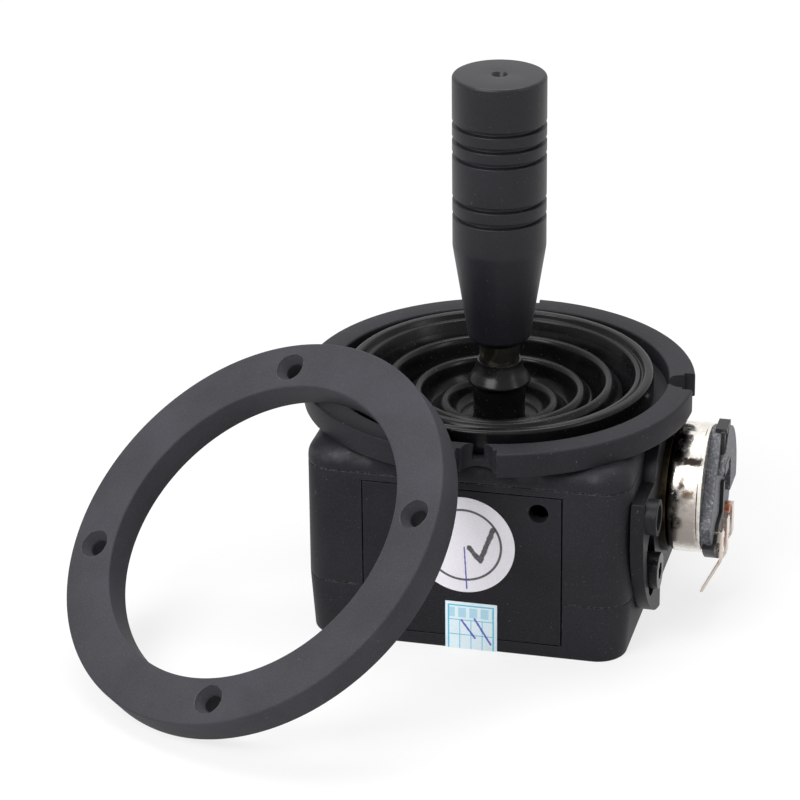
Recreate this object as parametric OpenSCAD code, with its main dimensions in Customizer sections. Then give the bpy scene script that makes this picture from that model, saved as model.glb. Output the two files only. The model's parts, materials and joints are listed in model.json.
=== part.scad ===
// Two-axis spring-centred hand control with two rotary potentiometers.
// Millimetres. +Z is up, the face with the labels looks along -Y, one potentiometer is on +X
// and the other on +Y. The origin is on the lever's axis, in the plane of the bottom face.

/* [Housing] */
// Width of the square housing across its flats
body_w = 65.4; // [63:0.1:70]
// Radius of the housing's upright corners
body_corner_r = 6; // [4:0.5:8]
// Height of the base cover, up to the lower parting line
base_h = 12; // [9:0.5:14]
// Height of the upper parting line above the bottom
shell_top_z = 36.6; // [36:0.1:38]
// Thickness of the housing's walls
wall_t = 2.9; // [2.4:0.1:3.4]
// Thickness of the base cover's floor
floor_t = 2.5; // [2:0.1:3.5]
// Gap left around the panel and between inserts
fit_gap = 0.1; // [0.05:0.05:0.2]
// Distance of the four housing screws' axes from the housing's flats
post_inset = 6.7; // [6.5:0.1:7.2]
// Half width of the corner posts that the housing screws pass through
post_half = 3.6; // [3.4:0.1:3.8]

/* [Flange] */
// Radius of the round mounting flange
flange_r = 39.5; // [38:0.1:41]
// Height of the flange's top face above the bottom
flange_top_z = 46.1; // [45:0.1:48]
// Thickness of the flange
flange_t = 5; // [4.5:0.1:6]
// Width of the flange's raised rim
rim_w = 5.2; // [2.5:0.1:5.4]
// Depth of the recess inside the rim
recess_depth = 4; // [3:0.1:4.2]
// Radius of the hole that the boot hangs through
boot_hole_r = 27; // [26.5:0.1:27.2]
// Width of each notch for a panel screw
notch_w = 8.1; // [6:0.1:10]
// Depth of each notch, from the flange's edge inwards
notch_d = 5.5; // [4.5:0.1:6.5]
// Turn of the notches from the housing's flats, degrees
notch_turn = 5.7; // [0:0.1:10]

/* [Front panel] */
// Width of the panel let into the front wall
panel_w = 39.9; // [36:0.1:42]
// Height of the panel
panel_h = 31.9; // [31:0.1:32.2]
// Height of the panel's lower edge above the bottom
panel_bottom_z = 2.95; // [2.8:0.05:3.2]
// Distance of the panel's middle from the lever's axis, along X
panel_shift = -0.4; // [-1:0.1:1]
// Radius of the small hole in the panel
panel_hole_r = 2; // [1:0.1:2.5]
// Place of the small hole along X
panel_hole_x = 15; // [12:0.1:16]
// Height of the small hole above the bottom
panel_hole_z = 31.4; // [30:0.1:32]

/* [Labels] */
// Radius of the round label
round_label_r = 10.35; // [8:0.05:11]
// Height of the round label's middle above the bottom
round_label_z = 23.1; // [22:0.1:24]
// Width of the square label
grid_label_w = 10.4; // [8:0.1:12]
// Height of the square label
grid_label_h = 10.3; // [8:0.1:10.5]
// Place of the square label's middle along X
grid_label_x = 1.6; // [0:0.1:4]
// Thickness of a label
label_t = 0.12; // [0.08:0.01:0.2]

/* [Mechanism] */
// Height of the tilt axes above the bottom
pivot_z = 24.8; // [24:0.1:25.2]
// Largest tilt of the lever each way, degrees
tilt_max = 23; // [15:1:23]
// Length of the cross yoke's window, along X
window_l = 15.6; // [15.2:0.1:16]
// Thickness of the cross yoke's end bars
yoke_bar_t = 3; // [2.5:0.1:3.2]
// Inner distance between the cross yoke's cheeks
cheek_gap = 10; // [9.8:0.1:10.4]
// Thickness of each cheek
cheek_t = 2.5; // [2:0.1:2.8]
// Height of the cross yoke's frame
yoke_h = 10; // [8:0.1:10]
// Radius of both yokes' hubs
hub_r = 5.5; // [4.8:0.1:5.8]
// Clearance between a hub's outer end and the potentiometer's bushing
hub_gap = 2.9; // [2.4:0.1:3.9]
// Radius of the plain journals opposite the potentiometers
journal_r = 4; // [3:0.1:4.5]
// Radial clearance of running fits
run_gap = 0.05; // [0.03:0.01:0.08]
// Wall of a bearing bush
bush_t = 2; // [1.5:0.1:2.2]
// Length of a bearing bush
bush_l = 5.5; // [4:0.1:6]
// Wall left behind a bush
bush_cap_t = 1.2; // [1:0.1:1.6]
// Wall of the boss around a bush
boss_t = 2; // [1.5:0.1:2.5]
// Radius of the pivot pin
pin_r = 1.5; // [1.2:0.1:1.8]
// Inner radius of the slotted yoke's arch
arch_inner_r = 14; // [13.8:0.1:14.2]
// Thickness of the arch
arch_t = 3; // [2.5:0.1:3.2]
// Width of the arch
arch_w = 11; // [10:0.1:11.4]
// Clearance on each side of the lever's tail in the arch's slot
slot_gap = 0.75; // [0.7:0.05:1]

/* [Lever] */
// Radius of the lever's rod
rod_r = 4; // [3.5:0.1:4.2]
// Height of the rod's upper end
rod_top_z = 77.5; // [70:0.5:85]
// Radius of the rod's tail
tail_r = 2.5; // [2:0.1:2.6]
// Length of the tail below the tilt axes
tail_l = 18.5; // [18:0.1:18.8]
// Length of the thick part of the rod below the tilt axes
rod_below = 5; // [4:0.1:5.4]
// Radius of the hub that the rod is fixed in
lever_hub_r = 5.5; // [5:0.1:6]
// Height of the knob's top
knob_top_z = 109.6; // [100:0.1:120]
// Height of the knob's lower end
knob_bottom_z = 53.2; // [50:0.1:56]
// Radius of the knob's grip
knob_r = 9.36; // [8:0.01:11]
// Radius of the knob's neck
knob_neck_r = 6.7; // [6:0.1:8]
// Height at which the grip starts to narrow
knob_taper_z = 74; // [70:0.5:78]
// Height of the knob's neck
knob_neck_z = 57.2; // [56.5:0.1:60]
// Radius of the knob's flat lower face
knob_foot_r = 5; // [4.6:0.1:5.6]
// Width of each groove round the grip
groove_w = 0.9; // [0.5:0.05:1.1]
// Depth of each groove
groove_d = 0.7; // [0.3:0.05:1]
// Radius of the dimple in the knob's top
dimple_r = 1.6; // [0.8:0.1:2]

/* [Boot] */
// Outer radius of the boot's rim
boot_r = 31.2; // [30.5:0.1:31.2]
// Height of the rim's top
boot_top_z = 47.2; // [46.5:0.1:48]
// Thickness of the boot's rubber
boot_t = 1.1; // [0.9:0.1:1.3]
// Radius of the boot's neck
neck_r = 5.2; // [5:0.1:5.6]
// Height of the boot's upper end
neck_top_z = 49.25; // [48.5:0.05:50]
// Radius of the lip of the boot's collar
lip_r = 6.3; // [6:0.1:6.8]
// Height of that lip
lip_z = 44.9; // [44:0.1:46]

/* [Potentiometers] */
// Radius of the metal can
can_r = 13.17; // [12:0.01:14]
// Length of the can
can_l = 7; // [6:0.1:8]
// Sheet thickness of the can
can_t = 0.6; // [0.4:0.05:0.8]
// Thickness of the brass washer under the can
washer_t = 1.25; // [0.8:0.05:1.5]
// Radius of that washer
washer_r = 13.4; // [13.2:0.1:14.6]
// Radius of the shaft
pot_shaft_r = 3; // [2:0.1:3.2]
// Radius of the threaded bushing
bushing_r = 4.5; // [4.2:0.1:5]
// Width of the nut across its flats
nut_af = 12; // [11:0.5:13]
// Thickness of the nut
nut_t = 2.2; // [1.8:0.1:2.6]
// Radius of the opening in the can's turned-in end
can_mouth_r = 7; // [5:0.1:7]
// Thickness of the insulating board on the can's end
bar_t = 2.1; // [1.5:0.1:2.5]
// Radius of that board
bar_r = 13; // [12:0.1:13.1]
// Distance of the board's flat side from the potentiometer's axis
bar_flat = 8; // [7.2:0.1:9]
// Slope of the flat side's normal above the horizontal, degrees
bar_turn = 36.8; // [20:0.1:50]
// Thickness of the end cap
cap_t = 1.1; // [0.8:0.1:1.6]
// Radius of the end cap
cap_r = 13; // [12:0.1:13.1]
// Distance of the end cap's flat side from the potentiometer's axis
cap_flat = 6.5; // [5:0.1:7]
// Width of a solder lug
lug_w = 2.2; // [1.5:0.1:2.6]
// Thickness of a solder lug
lug_t = 0.5; // [0.3:0.05:0.7]

/* [Potentiometer plates] */
// Thickness of the plate that carries a potentiometer
plate_t = 2.65; // [2.4:0.05:3]
// Radius of the plate's round part
plate_r = 20; // [18:0.1:21]
// Radius of the plate's lobe
lobe_r = 24.8; // [24.7:0.1:25.4]
// Distance of the lobe's centre in front of the tilt axis
lobe_shift = 5.2; // [5.2:0.1:5.8]
// Height of the lobe's centre above the tilt axis
lobe_rise = 1.8; // [1.6:0.1:2.2]
// Height of the lobe's upper edge above the bottom
lobe_top_z = 33.5; // [33:0.1:34]
// Height of the round part's lower edge above the bottom
disc_bottom_z = 7.9; // [7:0.1:8.5]
// Radius of the arc that the clamp slot follows
slot_arc_r = 22; // [21.5:0.1:22.5]
// Radius of the fixing screws' threads
plate_screw_r = 2; // [1.5:0.1:2]
// Radius of the fixing screws' heads
plate_head_r = 3.7; // [3:0.1:3.9]
// Height of the clamp screw's head
plate_head_t = 3.2; // [2:0.1:3.6]
// Radius of the hollow pillar on the lobe
pillar_r = 3.6; // [3.2:0.1:4]
// Height of that pillar above the plate
pillar_h = 2.35; // [2:0.05:3]

/* [Bezel ring] */
// Outer radius of the loose ring
ring_r = 42.2; // [41:0.1:44]
// Radius of the ring's opening
ring_bore_r = 32.2; // [31.5:0.1:34]
// Thickness of the ring
ring_t = 6.4; // [5:0.1:7]
// Radius of the circle that the screw holes lie on
hole_circle_r = 36.93; // [36.4:0.01:37.6]
// Radius of the screw holes
ring_hole_r = 1.8; // [1.5:0.1:2.4]
// Radius of the screw holes' countersinks
countersink_r = 3; // [2.6:0.1:4]
// Angle between the leaning ring and the surface it stands on, degrees
ring_lean = 40.12; // [38:0.01:44]
// Direction the ring faces, degrees from +X
ring_azimuth = -123.35; // [-126:0.05:-121]
// Turn of the screw holes round the ring, degrees
ring_spin = 26.4; // [0:0.1:45]
// Distance of the ring's front centre beyond the flange's edge, seen from above
ring_reach = 25.336; // [25.3:0.002:28]
// Direction of the ring's front centre from the lever's axis, degrees from +X
ring_bearing = -125.446; // [-127:0.002:-124]

/* [Hidden] */
$fn = 64;
// Extra length of a cut past the face it starts from
cut = 1;
// Length of a hole that goes right through a wall or a plate
through = 20;
// Room round the nut in the housing's wall
nut_room = 0.6;
// How far the threaded bushing reaches past the nut
bushing_reach = 0.6;
// How far the corner posts reach into the walls
post_sink = 0.2;
half_w = body_w / 2;
post_offset = half_w - post_inset;
inner_half = half_w - wall_t;
hub_end = half_w - nut_t - bushing_reach - hub_gap;
flange_bottom_z = flange_top_z - flange_t;
recess_z = flange_top_z - recess_depth;
rim_inner_r = flange_r - rim_w;
notch_inner_r = flange_r - notch_d;

// Potentiometer stations, measured outwards along the potentiometer's axis
plate_face = half_w + plate_t;
can_start = plate_face + washer_t;
can_end = can_start + can_l;
can_inner_end = can_end - can_t;
bar_end = can_end + bar_t;
wall_hole_r = nut_af / 2 / cos(30) + nut_room;

// Bearing stations
bush_outer_r = journal_r + run_gap + bush_t;
bush_end = half_w - bush_cap_t;
bush_start = bush_end - bush_l;
boss_r = bush_outer_r + boss_t;

// ---------- shared shapes ----------

// Square with rounded corners, centred
module rounded_square(w, r) {
    union() {
        square([w, w - 2 * r], center = true);
        square([w - 2 * r, w], center = true);
        for (x = [-1, 1], y = [-1, 1])
            translate([x * (w / 2 - r), y * (w / 2 - r)])
                circle(r);
    }
}

// Cylinder along +X from x = from to x = to, at the height of the tilt axes
module x_rod(r, from, to) {
    translate([from, 0, pivot_z])
        rotate([0, 90, 0])
            cylinder(r = r, h = to - from);
}

// Turns a piece a quarter round: from the +X side to +Y, and from the -X side to -Y
module quarter_turn() {
    rotate([0, 0, 90])
        children();
}

// Places a piece on the axes of the four corner posts
module at_posts() {
    for (x = [-1, 1], y = [-1, 1])
        translate([x * post_offset, y * post_offset, 0])
            children();
}

// Square posts that fill the housing's corners, grown sideways by extra
module corner_posts(from_z, to_z, extra = 0) {
    inner = post_offset - post_half - extra;
    w = inner_half + post_sink - inner + extra;
    for (x = [-1, 1], y = [-1, 1])
        translate([x * (inner + w / 2), y * (inner + w / 2), (from_z + to_z) / 2])
            cube([w, w, to_z - from_z], center = true);
}

// Walls of the square housing between two heights
module side_wall(from_z, to_z) {
    difference() {
        translate([0, 0, from_z])
            linear_extrude(to_z - from_z)
                rounded_square(body_w, body_corner_r);
        translate([0, 0, from_z - cut])
            linear_extrude(to_z - from_z + 2 * cut)
                rounded_square(body_w - 2 * wall_t, body_corner_r - wall_t / 2);
    }
}

// Opening in the front wall that the panel is let into
module panel_opening() {
    translate([
        panel_shift - panel_w / 2 - fit_gap,
        -half_w - cut,
        panel_bottom_z - fit_gap
    ])
        cube([panel_w + 2 * fit_gap, wall_t + 2 * cut, panel_h + 2 * fit_gap]);
}

// ---------- housing ----------

// Housing screws: radii of thread and head, height of the head, and depth of its recess
screw_r = 1.5;
screw_head_r = 2.75;
screw_head_t = 2;
screw_recess = 0.5;
// Depth of the screws' tips in the top housing, and room beyond them
screw_bite = 3.8;
screw_tip_gap = 0.6;
// Radius and depth of the hexagon in the screws' heads
socket_r = 1.25;
socket_depth = 1.2;

module base_cover() {
    color("#232326")
    difference() {
        union() {
            linear_extrude(floor_t)
                rounded_square(body_w, body_corner_r);
            side_wall(floor_t, base_h);
            corner_posts(floor_t / 2, base_h);
        }
        panel_opening();
        at_posts() {
            translate([0, 0, -cut])
                cylinder(r = screw_r + fit_gap, h = base_h + 2 * cut);
            translate([0, 0, -cut])
                cylinder(r = screw_head_r + fit_gap, h = screw_head_t + screw_recess + cut);
        }
    }
}

module body_shell() {
    color("#26262a")
    difference() {
        union() {
            side_wall(base_h, shell_top_z);
            corner_posts(base_h, shell_top_z);
            for (turn = [0, 90, 180])
                rotate([0, 0, turn])
                    translate([inner_half - ledge_d, -ledge_w / 2, limit_z - ledge_t])
                        cube([ledge_d + wall_t / 2, ledge_w, ledge_t]);
            x_rod(boss_r, -bush_end, -bush_start);
            spring_post(-half_w + wall_t / 2);
        }
        x_rod(bush_outer_r, -bush_end, 0);
        panel_opening();
        x_rod(wall_hole_r, inner_half - cut, half_w + cut);
        quarter_turn()
            x_rod(wall_hole_r, inner_half - cut, half_w + cut);
        at_posts()
            translate([0, 0, base_h - cut])
                cylinder(r = screw_r + fit_gap, h = shell_top_z - base_h + 2 * cut);
        clamp_screw_holes(half_w - wall_t - cut);
        quarter_turn()
            clamp_screw_holes(half_w - wall_t - cut);
    }
}

// Height and inset of the shoulder between the housing's walls and the flange
shoulder_step = 2.2;
shoulder_inset = 1.6;
// Bevel on the outer edge of the flange's rim
rim_bevel = 0.4;

// Open slot with a round inner end, cut in from the flange's edge
module notch_cut() {
    translate([notch_inner_r + notch_w / 2, -notch_w / 2, flange_bottom_z - cut])
        cube([flange_r, notch_w, flange_t + 2 * cut]);
    translate([notch_inner_r + notch_w / 2, 0, flange_bottom_z - cut])
        cylinder(r = notch_w / 2, h = flange_t + 2 * cut);
}

// Low collar in the flange that the boot's rim grips
collar_inner_r = 27.9;
collar_outer_r = 29.2;
collar_h = 2.4;

module top_housing() {
    color("#27272b")
    difference() {
        union() {
            translate([0, 0, shell_top_z])
                linear_extrude(shoulder_step)
                    rounded_square(body_w, body_corner_r);
            translate([0, 0, shell_top_z + shoulder_step])
                linear_extrude(flange_bottom_z - shell_top_z - shoulder_step)
                    rounded_square(body_w - 2 * shoulder_inset, body_corner_r);
            translate([0, 0, flange_bottom_z])
                cylinder(r = flange_r, h = recess_z - flange_bottom_z);
            translate([0, 0, recess_z])
                rotate_extrude()
                    polygon([
                        [rim_inner_r, 0], [flange_r, 0],
                        [flange_r, recess_depth - rim_bevel],
                        [flange_r - rim_bevel, recess_depth],
                        [rim_inner_r, recess_depth]
                    ]);
            translate([0, 0, recess_z])
                difference() {
                    cylinder(r = collar_outer_r, h = collar_h);
                    translate([0, 0, -cut])
                        cylinder(r = collar_inner_r, h = collar_h + 2 * cut);
                }
        }
        difference() {
            translate([0, 0, shell_top_z - cut])
                linear_extrude(flange_bottom_z - shell_top_z + cut)
                    rounded_square(body_w - 2 * wall_t, body_corner_r - wall_t / 2);
            corner_posts(shell_top_z - 2 * cut, flange_top_z);
        }
        translate([0, 0, flange_bottom_z - cut])
            cylinder(r = boot_hole_r, h = flange_t);
        at_posts()
            translate([0, 0, shell_top_z - cut])
                cylinder(r = screw_r, h = screw_bite + screw_tip_gap + cut);
        for (i = [0:3])
            rotate([0, 0, notch_turn + 90 * i])
                notch_cut();
    }
}

module front_panel() {
    color("#242428")
    difference() {
        union() {
            translate([panel_shift - panel_w / 2, -half_w, panel_bottom_z])
                cube([panel_w, wall_t, panel_h]);
            quarter_turn() {
                x_rod(boss_r, -bush_end, -bush_start);
                spring_post(-half_w + wall_t / 2);
            }
        }
        quarter_turn()
            x_rod(bush_outer_r, -bush_end, 0);
        translate([panel_hole_x, -half_w - cut, panel_hole_z])
            rotate([-90, 0, 0])
                cylinder(r = panel_hole_r, h = wall_t + 2 * cut);
    }
}

module round_label() {
    color("#f0eef0")
    translate([0, -half_w, round_label_z])
        rotate([90, 0, 0])
            cylinder(r = round_label_r, h = label_t);
}

module grid_label() {
    color("#bfe6ee")
    translate([grid_label_x - grid_label_w / 2, -half_w - label_t, fit_gap])
        cube([grid_label_w, label_t, grid_label_h]);
}

// Height and thickness of the plate that stops the lever
limit_z = 34.6;
limit_t = 1.5;
// Room for the lever's steeper lean when both yokes are tilted
corner_room = 0.7;
// Ledges on the housing's walls that the limit plate lies on
ledge_d = 2;
ledge_w = 12;
ledge_t = 1.4;
// Half the lever's room in the limit plate, from the rod's tilt at the plate's upper face
limit_half = (limit_z + limit_t - pivot_z) * tan(tilt_max) + rod_r / cos(tilt_max) + corner_room;

module limit_plate() {
    color("#3a3a3d")
    difference() {
        translate([0, 0, limit_z])
            linear_extrude(limit_t)
                rounded_square(body_w - 2 * wall_t - 2 * fit_gap, body_corner_r - wall_t / 2);
        translate([-limit_half, -limit_half, limit_z - cut])
            cube([2 * limit_half, 2 * limit_half, limit_t + 2 * cut]);
        corner_posts(limit_z - cut, limit_z + limit_t + cut, fit_gap);
    }
}

module housing_screws() {
    color("#b8babd")
    at_posts()
        difference() {
            translate([0, 0, screw_recess]) {
                cylinder(r = screw_head_r, h = screw_head_t);
                cylinder(r = screw_r, h = shell_top_z + screw_bite - screw_recess);
            }
            translate([0, 0, screw_recess - cut])
                cylinder(r = socket_r, h = cut + socket_depth, $fn = 6);
        }
}

module cross_yoke_bush() {
    color("#c9a24a")
    difference() {
        x_rod(bush_outer_r, -bush_end, -bush_start);
        x_rod(journal_r + run_gap, -bush_end - cut, -bush_start + cut);
    }
}

module slotted_yoke_bush() {
    quarter_turn()
        cross_yoke_bush();
}

// ---------- boot ----------

// Radii of the crests and valleys of the bellows, from the rim inwards, and their heights
crest_r = [22.3, 16.6, 10.9];
crest_z = [45, 42.9, 40.5];
valley_r = [boot_hole_r - 1.8, 19.4, 13.8, 7.8];
valley_z = [40.6, 39.2, 38, 37];
// Clearance of the boot's neck round the rod
neck_gap = 0.08;
// Upright thickness of the sloping bands
band_t = boot_t * 1.3;

// Closed profile of one band of the bellows between two points
module band(a, b) {
    polygon([a, b, [b[0], b[1] - band_t], [a[0], a[1] - band_t]]);
}

module boot_profile() {
    bore = rod_r + neck_gap;
    polygon([
        [collar_outer_r + 0.3, recess_z], [boot_r, recess_z],
        [boot_r, boot_top_z - 1], [boot_r - 1, boot_top_z],
        [boot_hole_r + 0.5, boot_top_z - 0.9], [boot_hole_r - boot_t, recess_z + 0.9],
        [boot_hole_r - 0.4, recess_z + 0.1],
        [collar_inner_r - 0.3, recess_z + 0.1], [collar_inner_r - 0.3, recess_z + collar_h + 0.3],
        [collar_outer_r + 0.3, recess_z + collar_h + 0.3]
    ]);
    band([boot_hole_r - 0.1, recess_z + 1.4], [valley_r[0], valley_z[0]]);
    for (i = [0:2]) {
        band([valley_r[i], valley_z[i]], [crest_r[i], crest_z[i]]);
        band([crest_r[i], crest_z[i]], [valley_r[i + 1], valley_z[i + 1]]);
    }
    band([valley_r[3], valley_z[3]], [bore, valley_z[3] + 0.6]);
    polygon([
        [bore, valley_z[3] - 0.6], [neck_r, valley_z[3] - 0.6], [neck_r, lip_z - 0.9],
        [lip_r, lip_z], [bore + 0.5, neck_top_z], [bore, neck_top_z]
    ]);
}

module boot() {
    color("#101012")
    rotate_extrude($fn = 96)
        union()
            boot_profile();
}

// ---------- lever and yokes ----------

module frame_block() {
    translate([
        -window_l / 2 - yoke_bar_t,
        -cheek_gap / 2 - cheek_t,
        pivot_z - yoke_h / 2
    ])
        cube([window_l + 2 * yoke_bar_t, cheek_gap + 2 * cheek_t, yoke_h]);
}

// Radii of the springs' wire and of the posts between a spring's legs
wire_r = 0.5;
post_r = 1.2;
// Heights of the yoke's post and of the housing's post below the tilt axis
moving_post_drop = 8.2;
fixed_post_drop = 11;
// Room at each end of the coil
spring_room = 1.6;
// Stretch of the journal that the coil stands round, between the arch and the bush
spring_start = arch_inner_r + arch_t + spring_room;
spring_end = bush_start - spring_room;
// Where the hub stops, and the thickness of the arm that carries the yoke's post
hub_stop = spring_start - 0.6;
arm_t = 2.2;
// Room between a journal's end and the wall behind the bush
journal_end_gap = 0.3;
// How far the housing's post reaches past the coil
post_reach = 0.4;

// Post fixed in the wall opposite a potentiometer, one turn of the spring stands on each side
module spring_post(wall_x) {
    translate([wall_x, 0, pivot_z - fixed_post_drop])
        rotate([0, 90, 0])
            cylinder(r = post_r, h = -wall_x - spring_start + post_reach);
}

// Arm that hangs from the hub, with the post that the spring pushes
module spring_arm() {
    translate([-hub_stop, -post_r, pivot_z - moving_post_drop])
        cube([arm_t, 2 * post_r, moving_post_drop]);
    translate([-spring_end, 0, pivot_z - moving_post_drop])
        rotate([0, 90, 0])
            cylinder(r = post_r, h = spring_end - hub_stop + arm_t);
}

module cross_yoke() {
    color("#8e9194")
    difference() {
        union() {
            frame_block();
            x_rod(hub_r, -hub_stop, -window_l / 2 - yoke_bar_t / 2);
            x_rod(journal_r, -bush_end + journal_end_gap, -hub_stop);
            x_rod(hub_r, window_l / 2 + yoke_bar_t / 2, hub_end);
            spring_arm();
        }
        translate([-window_l / 2, -cheek_gap / 2, pivot_z - yoke_h / 2 - cut])
            cube([window_l, cheek_gap, yoke_h + 2 * cut]);
        translate([0, cheek_gap, pivot_z])
            rotate([90, 0, 0])
                cylinder(r = pin_r, h = 2 * cheek_gap);
        x_rod(pot_shaft_r, shaft_start, hub_end + cut);
    }
}

module pivot_pin() {
    color("#c4c6c8")
    translate([0, cheek_gap / 2 + cheek_t, pivot_z])
        rotate([90, 0, 0])
            cylinder(r = pin_r, h = cheek_gap + 2 * cheek_t);
}

// Room between the lever's hub and each cheek
hub_side_gap = 0.2;

module lever_hub() {
    color("#9a9da0")
    difference() {
        translate([0, cheek_gap / 2 - hub_side_gap, pivot_z])
            rotate([90, 0, 0])
                cylinder(r = lever_hub_r, h = cheek_gap - 2 * hub_side_gap);
        translate([0, 0, pivot_z - 2 * lever_hub_r])
            cylinder(r = rod_r, h = 4 * lever_hub_r);
        translate([0, cheek_gap, pivot_z])
            rotate([90, 0, 0])
                cylinder(r = pin_r + run_gap, h = 2 * cheek_gap);
    }
}

module lever_rod() {
    color("#2b2b2d")
    difference() {
        union() {
            translate([0, 0, pivot_z - rod_below])
                cylinder(r = rod_r, h = rod_top_z - pivot_z + rod_below);
            translate([0, 0, pivot_z - tail_l])
                cylinder(r = tail_r, h = tail_l);
        }
        translate([0, cheek_gap, pivot_z])
            rotate([90, 0, 0])
                cylinder(r = pin_r + run_gap, h = 2 * cheek_gap);
    }
}

// Heights of the five grooves round the grip, below the knob's top
groove_drops = [9.6, 12.9, 16.1, 25.3, 28.7];
// Bevel on the edges of the knob's ends, flare of its grooves and depth of its dimple
knob_edge = 0.5;
groove_flare = 0.2;
dimple_depth = 1.2;
// Height of the rounded lower end, and room above the rod inside the knob
foot_h = 1.4;
rod_end_gap = 0.5;

module knob() {
    color("#323236")
    difference() {
        rotate_extrude()
            polygon([
                [0, knob_bottom_z], [knob_foot_r, knob_bottom_z],
                [knob_neck_r - knob_edge, knob_bottom_z + foot_h], [knob_neck_r, knob_neck_z],
                [knob_r, knob_taper_z], [knob_r, knob_top_z - knob_edge],
                [knob_r - knob_edge, knob_top_z], [0, knob_top_z]
            ]);
        for (d = groove_drops)
            translate([0, 0, knob_top_z - d])
                rotate_extrude()
                    polygon([
                        [knob_r - groove_d, 0],
                        [knob_r + cut, -groove_w / 2 - groove_flare],
                        [knob_r + cut, groove_w / 2 + groove_flare]
                    ]);
        translate([0, 0, knob_bottom_z - cut])
            cylinder(r = rod_r, h = rod_top_z - knob_bottom_z + cut + rod_end_gap);
        translate([0, 0, knob_top_z - dimple_depth])
            cylinder(r1 = dimple_r * 0.6, r2 = dimple_r, h = dimple_depth + 0.01);
    }
}

// Half ring below the tilt axis, with the slot that the lever's tail moves in
module arch() {
    difference() {
        translate([-arch_w / 2, 0, pivot_z])
            rotate([0, 90, 0])
                difference() {
                    cylinder(r = arch_inner_r + arch_t, h = arch_w);
                    translate([0, 0, -cut])
                        cylinder(r = arch_inner_r, h = arch_w + 2 * cut);
                }
        translate([-arch_w, -2 * arch_inner_r, pivot_z + hub_r])
            cube([2 * arch_w, 4 * arch_inner_r, 2 * arch_inner_r]);
        translate([-tail_r - slot_gap, -slot_half_l, 0])
            cube([2 * (tail_r + slot_gap), 2 * slot_half_l, pivot_z]);
    }
}

// Room past the tail at each end of the arch's slot
slot_end_gap = 0.4;
// Half length of that slot, from the tail's tilt at the arch's outer face
slot_half_l = (arch_inner_r + arch_t) * sin(tilt_max) + tail_r / cos(tilt_max) + slot_end_gap;
// How far the hubs reach into the arch
arch_sink = 0.4;
// Where a potentiometer's shaft starts inside the yoke's hub
shaft_start = 17;

module slotted_yoke() {
    color("#8e9194")
    difference() {
        union() {
            arch();
            quarter_turn() {
                x_rod(hub_r, -hub_stop, -arch_inner_r - arch_sink);
                x_rod(journal_r, -bush_end + journal_end_gap, -hub_stop);
                x_rod(hub_r, arch_inner_r + arch_sink, hub_end);
                spring_arm();
            }
        }
        quarter_turn()
            x_rod(pot_shaft_r, shaft_start, hub_end + cut);
    }
}

// ---------- springs ----------

// Spacing of the turns that the stretch is divided by
coil_pitch = 1.2;
coil_turns = max(1, round((spring_end - spring_start - 2 * wire_r) / coil_pitch));
// Radius of the coil's centre line, with its room round the journal
coil_r = journal_r + wire_r + 0.3;
// Gap between a post and the spring's leg beside it
leg_gap = 0.1;
steps_per_turn = 24;
wire_sides = 6;

// Point on the spring's centre line: a close-wound coil round the journal
function coil_point(t) =
    let (a = -90 + 360 * coil_turns * t)
    [-spring_end + wire_r + (spring_end - spring_start - 2 * wire_r) * t,
     coil_r * cos(a), coil_r * sin(a)];

// Tube along the coil, made of one ring of points for each step
module coil() {
    n = coil_turns * steps_per_turn;
    points = [
        for (i = [0:n])
            let (p = coil_point(i / n), a = -90 + 360 * coil_turns * i / n)
            for (k = [0:wire_sides - 1])
                let (b = 360 * k / wire_sides)
                [p[0] + wire_r * sin(b),
                 p[1] + wire_r * cos(b) * cos(a),
                 p[2] + wire_r * cos(b) * sin(a)]
    ];
    faces = concat(
        [[for (k = [wire_sides - 1:-1:0]) k]],
        [[for (k = [0:wire_sides - 1]) n * wire_sides + k]],
        [for (i = [0:n - 1], k = [0:wire_sides - 1])
            [i * wire_sides + k, i * wire_sides + (k + 1) % wire_sides,
             (i + 1) * wire_sides + (k + 1) % wire_sides, (i + 1) * wire_sides + k]]
    );
    polyhedron(points, faces);
}

// Straight leg that stands beside both posts
module spring_leg(x, side) {
    leg_y = side * (post_r + wire_r + leg_gap);
    translate([x, leg_y, -fixed_post_drop - post_r])
        cylinder(r = wire_r, h = fixed_post_drop + post_r - coil_r * 0.9);
}

module cross_yoke_spring() {
    color("#b9bcc0")
    translate([0, 0, pivot_z]) {
        coil();
        spring_leg(-spring_end + wire_r, 1);
        spring_leg(-spring_start - wire_r, -1);
    }
}

module slotted_yoke_spring() {
    quarter_turn()
        cross_yoke_spring();
}

// ---------- potentiometers, made for the +X side ----------

// Clamp screw and ends of its slot, as angles round the tilt axis
clamp_angle = 206;
slot_from = 192;
slot_to = 211;
// How far the slot's arc stops inside its round ends, degrees
slot_lap = 1.5;
// Place of the hollow pillar, just below the lobe's upper edge
pillar_edge_gap = 0.1;
pillar_y = -26;
pillar_z = lobe_top_z - pillar_r - pillar_edge_gap;
// Room round the clamp screw's head in its pocket, and the pocket's depth
pocket_room = 0.4;
pocket_r = plate_head_r + pocket_room;
pocket_d = 1.5;
// Room round the clamp screw's thread in the slot
slot_room = 0.2;
// Room between the plate's upper edge and the flange
plate_top_gap = 1;
// Distance of the lobe's straight side from the tilt axis, and more than its farthest edge's
lobe_side_y = 9.5;
lobe_reach = lobe_r + lobe_shift + cut;

// Direction from the tilt axis: 0 degrees looks along +Y, 90 degrees up
module on_arc(angle, r) {
    translate([0, r * cos(angle), pivot_z + r * sin(angle)])
        children();
}

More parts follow.
